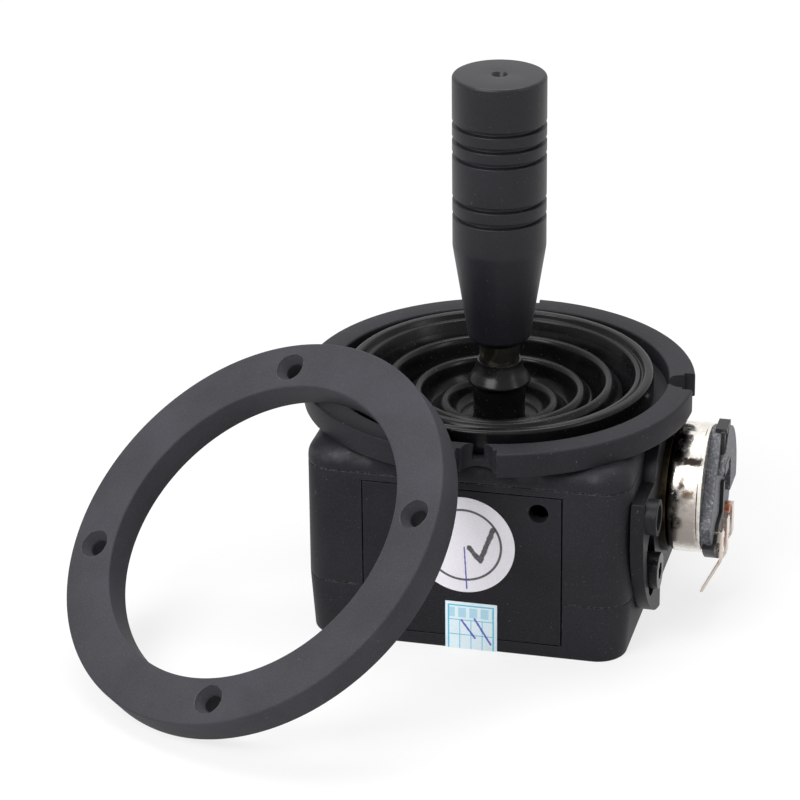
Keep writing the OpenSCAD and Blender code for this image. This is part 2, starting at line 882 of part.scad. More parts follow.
// Arc slot of half width w through the plate, between x = from and x = to
module arc_slot(w, from, to) {
    intersection() {
        difference() {
            x_rod(slot_arc_r + w, from, to);
            x_rod(slot_arc_r - w, from - cut, to + cut);
        }
        translate([from, 0, pivot_z])
            rotate([90, 0, 90])
                linear_extrude(to - from)
                    polygon([
                        [0, 0],
                        for (a = [slot_from + slot_lap, slot_to - slot_lap])
                            [2 * lobe_reach * cos(a), 2 * lobe_reach * sin(a)]
                    ]);
    }
    for (a = [slot_from, slot_to])
        on_arc(a, slot_arc_r)
            translate([from, 0, 0])
                rotate([0, 90, 0])
                    cylinder(r = w, h = to - from);
}

// Round part and lobe, drawn round the tilt axis
module plate_outline() {
    intersection() {
        circle(plate_r);
        translate([-lobe_reach, disc_bottom_z - pivot_z])
            square([2 * lobe_reach, flange_bottom_z - plate_top_gap - disc_bottom_z]);
    }
    intersection() {
        translate([-lobe_shift, lobe_rise])
            circle(lobe_r);
        translate([-lobe_reach, -lobe_reach])
            square([lobe_reach - lobe_side_y, lobe_reach + lobe_top_z - pivot_z]);
    }
}

module pot_plate() {
    color("#3b3b40")
    difference() {
        union() {
            translate([half_w, 0, pivot_z])
                rotate([90, 0, 90])
                    linear_extrude(plate_t)
                        union()
                            plate_outline();
            translate([half_w, pillar_y, pillar_z])
                rotate([0, 90, 0])
                    cylinder(r = pillar_r, h = plate_t + pillar_h);
        }
        x_rod(bushing_r, half_w - cut, plate_face + cut);
        arc_slot(pocket_r, plate_face - pocket_d, plate_face + cut);
        arc_slot(plate_screw_r + slot_room, half_w - cut, plate_face);
        translate([half_w - cut, pillar_y, pillar_z])
            rotate([0, 90, 0])
                cylinder(r = plate_screw_r + fit_gap, h = through);
        translate([plate_face, pillar_y, pillar_z])
            rotate([0, 90, 0])
                cylinder(r = pillar_screw_head_r + fit_gap, h = through);
    }
}

// Head of the screw in the pillar, depth of both screws in the wall, and depth of their sockets
pillar_screw_head_r = 2.5;
pillar_screw_head_t = 1.8;
screw_depth = 2.4;
hex_depth = 1.4;

// Threaded holes in the housing's wall for the two screws of one plate
module clamp_screw_holes(from) {
    on_arc(clamp_angle, slot_arc_r)
        translate([from, 0, 0])
            rotate([0, 90, 0])
                cylinder(r = plate_screw_r, h = through);
    translate([from, pillar_y, pillar_z])
        rotate([0, 90, 0])
            cylinder(r = plate_screw_r, h = through);
}

// Screw with a hexagon socket, its head starts at x = from
module socket_screw(from, head_r, head_t, shank_l) {
    difference() {
        translate([from, 0, 0])
            rotate([0, 90, 0]) {
                translate([0, 0, -shank_l])
                    cylinder(r = plate_screw_r, h = shank_l);
                cylinder(r = head_r, h = head_t);
            }
        translate([from + head_t - hex_depth, 0, 0])
            rotate([0, 90, 0])
                cylinder(r = head_r * 0.5, h = hex_depth + cut, $fn = 6);
    }
}

module plate_screws() {
    color("#1d1d1f") {
        on_arc(clamp_angle, slot_arc_r)
            socket_screw(plate_face - pocket_d, plate_head_r, plate_head_t,
                plate_t - pocket_d + screw_depth);
        translate([0, pillar_y, pillar_z])
            socket_screw(plate_face, pillar_screw_head_r, pillar_screw_head_t,
                plate_t + screw_depth);
    }
}

module pot_washer() {
    color("#c8a050")
    difference() {
        x_rod(washer_r, plate_face, can_start);
        x_rod(bushing_r, plate_face - cut, can_start + cut);
    }
}

module pot_bushing() {
    color("#c8a050")
    difference() {
        x_rod(bushing_r, half_w - nut_t - bushing_reach, can_start);
        x_rod(pot_shaft_r + run_gap, half_w - nut_t - 2 * cut, can_start + cut);
    }
}

module pot_nut() {
    color("#c8a050")
    difference() {
        translate([half_w - nut_t, 0, pivot_z])
            rotate([0, 90, 0])
                cylinder(r = nut_af / 2 / cos(30), h = nut_t, $fn = 6);
        x_rod(bushing_r, half_w - nut_t - cut, half_w + cut);
    }
}

module pot_can() {
    color("#cfc8bf")
    difference() {
        x_rod(can_r, can_start, can_end);
        x_rod(can_r - can_t, can_start + can_t, can_inner_end);
        x_rod(can_mouth_r, can_start + can_t, can_end + cut);
        x_rod(pot_shaft_r + run_gap, can_start - cut, can_end);
    }
}

// Resistance element and the wiper that turns in front of it
element_t = 1;
wiper_t = 1.2;
wiper_gap = 0.3;
wiper_r = 9;

module pot_shaft() {
    color("#c4c6c8")
    x_rod(pot_shaft_r, shaft_start, can_inner_end - element_t - wiper_gap);
}

module pot_wiper() {
    color("#d8d2c0")
    difference() {
        x_rod(wiper_r, can_inner_end - element_t - wiper_gap - wiper_t,
            can_inner_end - element_t - wiper_gap);
        x_rod(pot_shaft_r, can_start, can_end);
    }
}

module pot_element() {
    color("#b56a4a")
    x_rod(can_r - can_t, can_inner_end - element_t, can_inner_end);
}

// Everything beyond a flat side at that distance from the potentiometer's axis
module beyond_flat(distance) {
    translate([can_start, 0, pivot_z])
        rotate([90 - bar_turn, 0, 0])
            translate([0, -through, distance])
                cube([through, 2 * through, through]);
}

module pot_bar() {
    color("#4d4f54")
    difference() {
        x_rod(bar_r, can_end, bar_end);
        beyond_flat(bar_flat);
    }
}

// Lower end of the cap below the axis, and its corner cut out over the board:
// how far that reaches past the axis and how high above it
cap_drop = 2.5;
cap_corner_y = 5.2;
cap_corner_z = 5;

module pot_cap() {
    color("#55575c")
    difference() {
        x_rod(cap_r, bar_end, bar_end + cap_t);
        beyond_flat(cap_flat);
        translate([can_end, -through, pivot_z - cap_drop - through])
            cube([through, 2 * through, through]);
        translate([can_end, cap_corner_y - through, pivot_z + cap_corner_z - through])
            cube([through, through, through]);
    }
}

// Places of the three solder lugs across the cap, with the heights of their bend and their tip
lugs = [
    [-6, 12, 4.8],
    [0.5, 10.8, 9.6],
    [7, 12, 8.6]
];
// Height of the lugs' upper ends, and of the pads there that hold them on the board
lug_top_z = 18.5;
lug_pad_h = 2.4;
// Lean of a bent lug's tail towards the housing, degrees
lug_bend = 27;
// Overlap of the two halves of a bent lug
lug_lap = 0.12;

module pot_lugs() {
    color("#c9beb2")
    for (lug = lugs)
        translate([bar_end + cap_t, lug[0] - lug_w / 2, 0]) {
            translate([0, 0, lug[1]])
                cube([lug_t, lug_w, lug_top_z - lug[1]]);
            translate([-cap_t, 0, lug_top_z - lug_pad_h])
                cube([cap_t + lug_t, lug_w, lug_pad_h]);
            intersection() {
                translate([0, 0, lug[1] + lug_lap])
                    rotate([0, lug_bend, 0])
                        translate([0, 0, -lug_top_z])
                            cube([lug_t, lug_w, lug_top_z]);
                translate([-lug_top_z, 0, lug[2]])
                    cube([2 * lug_top_z, lug_w, lug[1] - lug[2] + lug_lap]);
            }
        }
}

// ---------- loose ring ----------

// Place of the ring's front centre: its lower edge stands on the surface
ring_x = (flange_r + ring_reach) * cos(ring_bearing);
ring_y = (flange_r + ring_reach) * sin(ring_bearing);
ring_z = ring_t * cos(ring_lean) + ring_r * sin(ring_lean);

module bezel_ring() {
    color("#4f4f54")
    translate([ring_x, ring_y, ring_z])
        rotate([0, 0, ring_azimuth + 90])
            rotate([ring_lean, 0, 0])
                difference() {
                    translate([0, 0, -ring_t])
                        cylinder(r = ring_r, h = ring_t);
                    translate([0, 0, -ring_t - cut])
                        cylinder(r = ring_bore_r, h = ring_t + 2 * cut);
                    for (i = [0:3])
                        rotate([0, 0, ring_spin + 90 * i])
                            translate([hole_circle_r, 0, 0]) {
                                translate([0, 0, -ring_t - cut])
                                    cylinder(r = ring_hole_r, h = ring_t + 2 * cut);
                                translate([0, 0, ring_hole_r - countersink_r])
                                    cylinder(r1 = ring_hole_r, r2 = countersink_r,
                                        h = countersink_r - ring_hole_r + 0.01);
                            }
                }
}

base_cover();
body_shell();
top_housing();
front_panel();
round_label();
grid_label();
limit_plate();
housing_screws();
cross_yoke_bush();
slotted_yoke_bush();
boot();
cross_yoke();
pivot_pin();
lever_hub();
lever_rod();
knob();
slotted_yoke();
cross_yoke_spring();
slotted_yoke_spring();
pot_plate();  // right_pot_plate
plate_screws();  // right_plate_screws
pot_washer();  // right_pot_washer
pot_bushing();  // right_pot_bushing
pot_nut();  // right_pot_nut
pot_can();  // right_pot_can
pot_shaft();  // right_pot_shaft
pot_wiper();  // right_pot_wiper
pot_element();  // right_pot_element
pot_bar();  // right_pot_bar
pot_cap();  // right_pot_cap
pot_lugs();  // right_pot_lugs
quarter_turn() pot_plate();  // rear_pot_plate
quarter_turn() plate_screws();  // rear_plate_screws
quarter_turn() pot_washer();  // rear_pot_washer
quarter_turn() pot_bushing();  // rear_pot_bushing
quarter_turn() pot_nut();  // rear_pot_nut
quarter_turn() pot_can();  // rear_pot_can
quarter_turn() pot_shaft();  // rear_pot_shaft
quarter_turn() pot_wiper();  // rear_pot_wiper
quarter_turn() pot_element();  // rear_pot_element
quarter_turn() pot_bar();  // rear_pot_bar
quarter_turn() pot_cap();  // rear_pot_cap
quarter_turn() pot_lugs();  // rear_pot_lugs
bezel_ring();
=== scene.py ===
"""Dressed model of a two-axis, spring-centred hand control and its loose bezel ring.

Lengths in the dataclasses are millimetres and become metres when a mesh is finished.
"""

import json
import logging
import math
from dataclasses import dataclass
from enum import Enum
from typing import Iterable, Optional, Sequence, Union

import bmesh
import bpy
from mathutils import Matrix, Vector

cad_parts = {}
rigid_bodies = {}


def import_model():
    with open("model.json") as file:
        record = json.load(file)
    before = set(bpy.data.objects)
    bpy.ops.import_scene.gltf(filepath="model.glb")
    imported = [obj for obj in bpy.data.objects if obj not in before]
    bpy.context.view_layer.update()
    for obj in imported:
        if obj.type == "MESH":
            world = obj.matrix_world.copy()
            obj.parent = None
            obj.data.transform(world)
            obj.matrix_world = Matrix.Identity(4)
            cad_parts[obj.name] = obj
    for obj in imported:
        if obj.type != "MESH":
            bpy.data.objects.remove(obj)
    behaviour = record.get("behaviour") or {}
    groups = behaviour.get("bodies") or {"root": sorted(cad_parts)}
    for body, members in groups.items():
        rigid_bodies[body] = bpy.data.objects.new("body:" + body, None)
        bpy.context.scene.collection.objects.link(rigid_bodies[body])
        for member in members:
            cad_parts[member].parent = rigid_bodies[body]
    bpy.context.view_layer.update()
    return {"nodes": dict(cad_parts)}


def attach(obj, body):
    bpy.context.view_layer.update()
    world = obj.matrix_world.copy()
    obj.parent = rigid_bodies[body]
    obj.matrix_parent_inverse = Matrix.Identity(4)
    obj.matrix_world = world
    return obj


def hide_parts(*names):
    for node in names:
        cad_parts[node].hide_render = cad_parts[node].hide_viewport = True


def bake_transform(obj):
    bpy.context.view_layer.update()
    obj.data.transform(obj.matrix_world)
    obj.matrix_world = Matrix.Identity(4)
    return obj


MM = 0.001
LOG = logging.getLogger("hand_control")
Colour = tuple[float, float, float]
Point = tuple[float, float]
Value = Union["Link", float, int, tuple]


# ---------------------------------------------------------------- shader wrapper


class Link:
    """One shader value; arithmetic on it adds Math nodes."""

    def __init__(self, graph: "Graph", socket: bpy.types.NodeSocket) -> None:
        """Keeps the socket and the graph that it belongs to."""
        self.graph = graph
        self.socket = socket

    def _math(self, operation: str, left: Value, right: Value) -> "Link":
        """Adds one Math node.

        Args:
            operation: Name of the Math node's operation.
            left: First value.
            right: Second value.

        Returns:
            The node's result.
        """
        return self.graph.node("ShaderNodeMath", {"operation": operation}, {0: left, 1: right})

    def __add__(self, other: Value) -> "Link":
        """Sum."""
        return self._math("ADD", self, other)

    __radd__ = __add__

    def __sub__(self, other: Value) -> "Link":
        """Difference."""
        return self._math("SUBTRACT", self, other)

    def __rsub__(self, other: Value) -> "Link":
        """Difference, with this value taken away."""
        return self._math("SUBTRACT", other, self)

    def __mul__(self, other: Value) -> "Link":
        """Product."""
        return self._math("MULTIPLY", self, other)

    __rmul__ = __mul__

    def __truediv__(self, other: Value) -> "Link":
        """Quotient."""
        return self._math("DIVIDE", self, other)

    def __pow__(self, other: Value) -> "Link":
        """Power."""
        return self._math("POWER", self, other)

    def __abs__(self) -> "Link":
        """Size without the sign."""
        return self._math("ABSOLUTE", self, 0.0)

    def highest(self, other: Value) -> "Link":
        """The larger of two values."""
        return self._math("MAXIMUM", self, other)

    def lowest(self, other: Value) -> "Link":
        """The smaller of two values."""
        return self._math("MINIMUM", self, other)

    def wrap(self, length: float) -> "Link":
        """Distance past the last whole multiple of a length."""
        return self._math("FLOORED_MODULO", self, length)

    def ramp(self, low: float, high: float) -> "Link":
        """Smooth step from 0 at low to 1 at high; it falls where low is above high.

        Args:
            low: Value at which the result is 0.
            high: Value at which the result is 1.

        Returns:
            The stepped value.
        """
        if low > high:
            return 1.0 - self.ramp(high, low)
        return self.graph.node(
            "ShaderNodeMapRange",
            {"interpolation_type": "SMOOTHSTEP"},
            {0: self, 1: low, 2: high, 3: 0.0, 4: 1.0},
        )


class Graph:
    """Node tree of one material or of the world."""

    def __init__(self, name: str, world: Optional[bpy.types.World] = None) -> None:
        """Makes an empty material of that name, or empties the world that is given."""
        self.owner = world or bpy.data.materials.new(name)
        self.ending = "ShaderNodeOutputWorld" if world else "ShaderNodeOutputMaterial"
        self.owner.use_nodes = True
        self.tree = self.owner.node_tree
        self.tree.nodes.clear()
        self.place = self.node("ShaderNodeTexCoord", output="Object")

    def node(
        self,
        kind: str,
        settings: Optional[dict] = None,
        inputs: Optional[dict] = None,
        output: Union[int, str] = 0,
    ) -> Optional[Link]:
        """Adds a node.

        Args:
            kind: Type of the node.
            settings: Properties, which are set first.
            inputs: Values or links by socket name or number.
            output: Name or number of the socket that is returned.

        Returns:
            The chosen output, if the node has any.
        """
        made = self.tree.nodes.new(kind)
        for key, value in (settings or {}).items():
            setattr(made, key, value)
        for key, value in (inputs or {}).items():
            if isinstance(value, Link):
                self.tree.links.new(value.socket, made.inputs[key])
            else:
                made.inputs[key].default_value = value
        return Link(self, made.outputs[output]) if made.outputs else None

    def noise(
        self,
        size: float,
        detail: float = 2.0,
        stretch: tuple = (1.0, 1.0, 1.0),
        shift: tuple = (0.0, 0.0, 0.0),
        distortion: float = 0.0,
    ) -> Link:
        """Noise with features of about that size.

        Args:
            size: Size of the features, mm.
            detail: Octaves.
            stretch: How many times finer it is along each axis.
            shift: Offset of the pattern, m.
            distortion: Warp of the pattern.

        Returns:
            Noise about 0.5.
        """
        moved = self.node(
            "ShaderNodeMapping", {}, {"Vector": self.place, "Scale": stretch, "Location": shift}
        )
        return self.node(
            "ShaderNodeTexNoise",
            {},
            {
                "Vector": moved,
                "Scale": 1.0 / (size * MM),
                "Detail": detail,
                "Distortion": distortion,
            },
        )

    def axis(self, name: str) -> Link:
        """Position along X, Y or Z, in mm."""
        return self.node("ShaderNodeSeparateXYZ", {}, {0: self.place}, name) * (1.0 / MM)

    def mix(self, share: Value, first: Value, second: Value) -> Link:
        """Colour between two others.

        Args:
            share: 0 for the first colour, 1 for the second.
            first: A colour.
            second: A colour.

        Returns:
            The mixed colour.
        """
        made = [v if isinstance(v, Link) or len(v) == 4 else (*v, 1.0) for v in (first, second)]
        return self.node(
            "ShaderNodeMix", {"data_type": "RGBA"}, {0: share, 6: made[0], 7: made[1]}, 2
        )

    def rounded(self, radius: float) -> Link:
        """Normal with edges rounded to a radius in mm."""
        return self.node("ShaderNodeBevel", {"samples": 8}, {"Radius": radius * MM})

    def worn_edges(self, radius: float) -> Link:
        """Mask that is 1 on edges and 0 on open faces.

        Args:
            radius: How far the mask reaches from an edge, mm.

        Returns:
            The mask.
        """
        flat = self.node("ShaderNodeNewGeometry", output="Normal")
        turned = self.node(
            "ShaderNodeVectorMath",
            {"operation": "DOT_PRODUCT"},
            {0: self.rounded(radius), 1: flat},
            "Value",
        )
        return turned.ramp(0.97, 0.80)

    def relief(self, height: Link, edge: Optional[float] = None) -> Link:
        """Normal from a height in mm.

        Args:
            height: Height of the surface.
            edge: Radius that edges are rounded to, mm, or None.

        Returns:
            The normal.
        """
        inputs: dict = {"Height": height, "Distance": MM, "Strength": 1.0}
        if edge:
            inputs["Normal"] = self.rounded(edge)
        return self.node("ShaderNodeBump", {}, inputs)

    def seen(self) -> Link:
        """1 for what the camera, a reflection or a clear body sees, 0 for what lights a surface."""
        paths = [
            self.node("ShaderNodeLightPath", output=f"Is {kind} Ray")
            for kind in ("Camera", "Glossy", "Transmission")
        ]
        return (paths[0] + paths[1] + paths[2]).lowest(1.0)

    def end(self, shader: Link) -> Union[bpy.types.Material, bpy.types.World]:
        """Ends the graph in a shader and gives back what it belongs to."""
        self.node(self.ending, {}, {"Surface": shader})
        return self.owner

    def shader(self, **inputs: Value) -> Link:
        """Principled shader.

        Args:
            **inputs: Socket values, with _ for a space in the socket's name.

        Returns:
            The shader.
        """
        named = {key.replace("_", " "): value for key, value in inputs.items()}
        for key, value in named.items():
            if isinstance(value, tuple) and len(value) == 3 and "Color" in key:
                named[key] = (*value, 1.0)
        return self.node("ShaderNodeBsdfPrincipled", {}, named)

    def surface(self, **inputs: Value) -> bpy.types.Material:
        """Ends the graph in a Principled shader, whose inputs are given as for shader."""
        return self.end(self.shader(**inputs))


# ---------------------------------------------------------------- finishes


@dataclass(frozen=True)
class Finish:
    """A named finish; each kind builds its own material."""

    name: str
    colour: Colour

    def material(self) -> bpy.types.Material:
        """The finish's material, built once."""
        return bpy.data.materials.get(self.label()) or self.build()

    def label(self) -> str:
        """Name of the material, apart from the frame's own materials."""
        return f"{self.name}_finish"

    def build(self) -> bpy.types.Material:
        """Makes the material."""
        raise NotImplementedError


@dataclass(frozen=True)
class Moulding(Finish):
    """Moulded plastic with a spark-eroded grain, faint clouding, dust and worn edges."""

    rough: float = 0.52
    grain: float = 0.28
    depth: float = 0.012
    cloud: float = 0.16
    dust: float = 0.25
    edge: float = 0.25
    wear: float = 0.35
    shine: float = 0.13
    seams: tuple = ()
    painted_sheen_bands: tuple = ()
    mould_line: Optional[float] = None
    bleach: float = 0.03

    def _marks_and_sheen(self, g: Graph) -> Link:
        """Speckled parting lines, a painted highlight on the shoulder bands and the line where the mould
        closed.

        Args:
            g: Graph that they go into.

        Returns:
            1 where the surface is paler.
        """
        speckle = g.noise(0.5, 3.0, shift=(0.7, 0.3, 0.2)).ramp(0.46, 0.64)
        made = g.noise(2.0, 2.0, shift=(0.5, 0.5, 0.1)).ramp(0.74, 0.80) * 0.3
        for height in self.seams:
            made = made.highest(abs(g.axis("Z") - height).ramp(0.30, 0.10) * speckle)
        # Painted highlight: paler patches in each band stand for the gloss on a rounded shoulder.
        for low, high in self.painted_sheen_bands:
            band = abs(g.axis("Z") - (low + high) / 2).ramp((high - low) / 2, 0.0)
            made = made.highest(band * g.noise(7.0, 4.0).ramp(0.50, 0.70) * 0.8)
        if self.mould_line is not None:
            turn = math.radians(self.mould_line)
            off = g.axis("X") * math.sin(turn) - g.axis("Y") * math.cos(turn)
            made = made.highest(abs(off).ramp(0.22, 0.06) * speckle * 0.7)
        return made

    def build(self) -> bpy.types.Material:
        """Makes the material."""
        g = Graph(self.label())
        grain = g.noise(self.grain, 3.0)
        cloud = g.noise(14.0, 3.0)
        hair = g.noise(0.35, 1.0, (1.0, 0.05, 1.0)).ramp(0.70, 0.76)
        specks = g.noise(0.45, 2.0, shift=(0.31, 0.12, 0.05)).ramp(0.71, 0.76)
        worn = g.worn_edges(self.edge * 1.6) * g.noise(1.3, 3.0).ramp(0.38, 0.62)
        dark = tuple(c * (1.0 - self.cloud) for c in self.colour)
        light = tuple(c * (1.0 + self.cloud) for c in self.colour)
        pale = tuple(min(1.0, c * 2.4 + self.bleach) for c in self.colour)
        tone = g.mix(cloud.ramp(0.25, 0.75), dark, light)
        tone = g.mix((grain - 0.5).highest(0.0) * 0.9, tone, pale)
        tone = g.mix((worn * self.wear).highest(self._marks_and_sheen(g)), tone, pale)
        tone = g.mix(specks * self.dust, tone, (0.42, 0.41, 0.39))
        rough = self.rough + 0.10 * (cloud - 0.5) + 0.15 * specks + 0.10 * (grain - 0.5)
        height = grain * self.depth - hair * 0.006
        return g.surface(
            Base_Color=tone,
            Roughness=rough,
            Normal=g.relief(height, self.edge),
            Specular_IOR_Level=self.shine,
        )


@dataclass(frozen=True)
class Rubber(Finish):
    """Moulded rubber: dark, with soft gloss, fine bloom and dust."""

    rough: float = 0.24
    shine: float = 0.16

    def build(self) -> bpy.types.Material:
        """Makes the material."""
        g = Graph(self.label())
        skin = g.noise(0.22, 2.0)
        waves = g.noise(5.0, 2.0)
        bloom = g.noise(9.0, 4.0, shift=(0.2, 0.4, 0.1)).ramp(0.48, 0.75)
        specks = g.noise(0.40, 1.0, shift=(0.6, 0.2, 0.3)).ramp(0.72, 0.76)
        pale = tuple(c * 2.6 + 0.004 for c in self.colour)
        tone = g.mix(bloom * 0.35, self.colour, pale)
        tone = g.mix(specks * 0.15, tone, (0.33, 0.32, 0.30))
        rough = self.rough + 0.16 * bloom + 0.06 * (waves - 0.5) + 0.3 * specks
        height = skin * 0.006 + waves * 0.03
        return g.surface(
            Base_Color=tone, Roughness=rough, Normal=g.relief(height), Specular_IOR_Level=self.shine
        )


@dataclass(frozen=True)
class Plating(Finish):
    """Bare or plated metal with drawing marks, tarnish and pits; on the washer the tarnish colour is
    brighter than the metal, so its stains and pits are painted glints.
    """

    tarnish_and_glint: Colour = (0.16, 0.13, 0.10)
    rough: float = 0.22
    stain_and_glint_share: float = 0.35
    marks: tuple = (1.0, 0.08, 1.0)
    edge: float = 0.12

    def _painted_patches(self, g: Graph) -> list[tuple[Link, Colour]]:
        """Places of painted reflection with their colours; plain plating has none."""
        return []

    def build(self) -> bpy.types.Material:
        """Makes the material."""
        g = Graph(self.label())
        marks = g.noise(0.12, 2.0, self.marks)
        stain_and_glint_mask = g.noise(2.6, 4.0, distortion=0.4).ramp(0.50, 0.78)
        dents = g.noise(3.2, 2.0, shift=(0.1, 0.7, 0.3))
        pits_and_glints = g.noise(0.30, 1.0, shift=(0.4, 0.1, 0.9)).ramp(0.70, 0.76)
        # Stains and pits take the tarnish colour; on the washer they are painted brass glints.
        tone = g.mix(stain_and_glint_mask * self.stain_and_glint_share, self.colour, self.tarnish_and_glint)
        tone = g.mix(pits_and_glints * 0.5, tone, self.tarnish_and_glint)
        # Painted reflections, where a finish has them.
        for mask, colour in self._painted_patches(g):
            tone = g.mix(mask, tone, colour)
        rough = self.rough + 0.22 * stain_and_glint_mask + 0.12 * (marks - 0.5) + 0.2 * pits_and_glints
        height = marks * 0.0025 + dents * 0.035 - pits_and_glints * 0.01
        return g.surface(
            Base_Color=tone,
            Metallic=1.0 - 0.5 * (stain_and_glint_mask * self.stain_and_glint_share),
            Roughness=rough,
            Normal=g.relief(height, self.edge),
        )


@dataclass(frozen=True)
class CanPlating(Plating):
    """Plating of a drawn can, with painted reflections: dark and grey patches round it and a dark band
    by the wall.
    """

    axis_height: float = 24.84
    radius: float = 13.17
    # Painted reflections: angle, half width, start, end and colour of each patch.
    reflection_spots: tuple = (
        (104.0, 2.4, 36.9, 39.6, (0.020, 0.017, 0.015)),
        (124.0, 3.4, 37.3, 39.1, (0.050, 0.042, 0.036)),
        (133.5, 1.0, 38.8, 43.6, (0.045, 0.036, 0.030)),
        (152.0, 2.0, 39.1, 40.0, (0.100, 0.080, 0.065)),
        (163.0, 0.9, 39.8, 42.2, (0.260, 0.170, 0.110)),
        (180.0, 3.6, 36.0, 44.0, (0.420, 0.380, 0.345)),
        (202.0, 5.0, 36.0, 44.0, (0.330, 0.295, 0.265)),
    )
    # End of the painted dark reflection by the wall.
    dark_reflection_end: float = 37.8

    def _painted_patches(self, g: Graph) -> list[tuple[Link, Colour]]:
        """Painted reflections at their angles round the can, and a painted dark reflection at the end by
        the wall.
        """
        x, y = g.axis("X"), g.axis("Y")
        along, across, up = x.highest(y), x.lowest(y), g.axis("Z") - self.axis_height
        frayed = (g.noise(0.7, 4.0) - 0.5) * 3.0
        # Painted reflection: the dark band by the wall stands for the black plate seen in the can's
        # rounded edge.
        made = [(along.ramp(self.dark_reflection_end + 0.3, self.dark_reflection_end - 0.5), (0.06, 0.052, 0.046))]
        # Painted reflections: dark and grey patches at fixed angles round the can.
        for angle, half, low, high, colour in self.reflection_spots:
            turn = math.radians(angle)
            off_y = across - self.radius * math.cos(turn)
            off_z = up - self.radius * math.sin(turn)
            off = (off_y * off_y + off_z * off_z) ** 0.5 + frayed * min(1.0, half * 0.5)
            reach = (high - low) / 2
            band = (abs(along - (low + high) / 2) + frayed * 0.4).ramp(reach + 0.5, reach * 0.5)
            made.append((off.ramp(half * 1.35, half * 0.45) * band, colour))
        return made


@dataclass(frozen=True)
class Laminate(Finish):
    """Pressed board with a coarse, glittering grain."""

    fleck: Colour = (0.32, 0.33, 0.36)
    rough: float = 0.5

    def build(self) -> bpy.types.Material:
        """Makes the material."""
        g = Graph(self.label())
        coarse = g.noise(0.55, 3.0)
        fine = g.noise(0.16, 2.0)
        flecks = coarse.ramp(0.50, 0.72) * fine.ramp(0.35, 0.65)
        tone = g.mix(flecks, self.colour, self.fleck)
        tone = g.mix(coarse.ramp(0.45, 0.28), tone, tuple(c * 0.35 for c in self.colour))
        height = coarse * 0.06 + fine * 0.02
        return g.surface(
            Base_Color=tone,
            Roughness=self.rough + 0.2 * (fine - 0.5),
            Normal=g.relief(height, 0.12),
        )


class Print(Enum):
    """What is printed on a label."""

    SEAL = "seal"
    DATE_GRID = "date_grid"


@dataclass(frozen=True)
class Paper(Finish):
    """Label paper with its print and a stroke of a pen."""

    print_kind: Print = Print.SEAL
    ink: Colour = (0.02, 0.02, 0.025)

    @staticmethod
    def _stroke(g: Graph, start: Point, end: Point, width: float) -> Link:
        """Mask of a straight stroke in the label's plane.

        Args:
            g: Graph that it goes into.
            start: First end, X and Z in mm.
            end: Other end.
            width: Width of the stroke, mm.

        Returns:
            1 in the stroke.
        """
        dx, dz = end[0] - start[0], end[1] - start[1]
        length = dx * dx + dz * dz
        px, pz = g.axis("X") - start[0], g.axis("Z") - start[1]
        along = ((px * dx + pz * dz) / length).highest(0.0).lowest(1.0)
        ex, ez = px - along * dx, pz - along * dz
        shaky = (g.noise(0.8, 2.0) - 0.5) * (0.5 * width)
        return ((ex * ex + ez * ez) ** 0.5 + shaky).ramp(width * 0.62, width * 0.38)

    def _seal(self, g: Graph) -> list[tuple[Link, Colour]]:
        """Tick in a thin circle, and a pen stroke through it.

        Args:
            g: Graph that they go into.

        Returns:
            Masks with their colours.
        """
        x, z = g.axis("X"), g.axis("Z") - 23.1
        radius = (x * x + z * z) ** 0.5
        circle = abs(radius - 7.6).ramp(0.30, 0.18)
        tick = self._stroke(g, (1.2, 22.6), (3.4, 19.9), 1.05).highest(
            self._stroke(g, (3.4, 19.9), (6.0, 27.0), 1.05)
        )
        pen = self._stroke(g, (0.2, 22.6), (0.7, 13.6), 0.30)
        return [(circle, self.ink), (tick, self.ink), (pen, (0.06, 0.05, 0.35))]

    def _date_grid(self, g: Graph) -> list[tuple[Link, Colour]]:
        """Cyan boxes with a blank heading, and two pen strokes.

        Args:
            g: Graph that they go into.

        Returns:
            Masks with their colours.
        """
        x, z = g.axis("X") + 3.7, g.axis("Z")
        cyan = (0.045, 0.46, 0.66)
        inside = (abs(x - 5.2).ramp(4.75, 4.65)) * z.ramp(9.9, 9.8)
        border = abs(abs(x - 5.2) - 4.55).ramp(0.20, 0.12).highest(abs(z - 9.7).ramp(0.2, 0.12))
        columns = abs((x - 0.65).wrap(2.28) - 1.14).ramp(1.02, 1.10) * z.ramp(6.7, 6.5)
        rows = abs(z.wrap(3.25) - 1.62).ramp(1.50, 1.58) * z.ramp(6.8, 6.6)
        patch = abs(x.wrap(2.28) - 1.14).ramp(0.86, 0.74) * abs(z - 8.15).ramp(1.15, 1.0) * 0.5
        lines = border.highest(columns).highest(rows).highest(patch) * inside
        pens = self._stroke(g, (-0.4, 6.4), (2.3, 2.7), 0.42).highest(
            self._stroke(g, (2.3, 6.9), (5.5, 1.6), 0.42)
        )
        return [(lines, cyan), (pens, (0.05, 0.06, 0.42))]

    def build(self) -> bpy.types.Material:
        """Makes the material."""
        g = Graph(self.label())
        fibre = g.noise(0.35, 3.0)
        creases = g.noise(5.0, 3.0)
        low = tuple(c * 0.90 for c in self.colour)
        tone = g.mix(fibre.ramp(0.3, 0.7) * 0.6, self.colour, low)
        marks = self._seal(g) if self.print_kind is Print.SEAL else self._date_grid(g)
        for mask, colour in marks:
            tone = g.mix(mask * (0.80 + 0.25 * fibre).lowest(1.0), tone, colour)
        height = fibre * 0.01 + creases * 0.08
        return g.surface(
            Base_Color=tone, Roughness=0.48 + 0.1 * (fibre - 0.5), Normal=g.relief(height)
        )


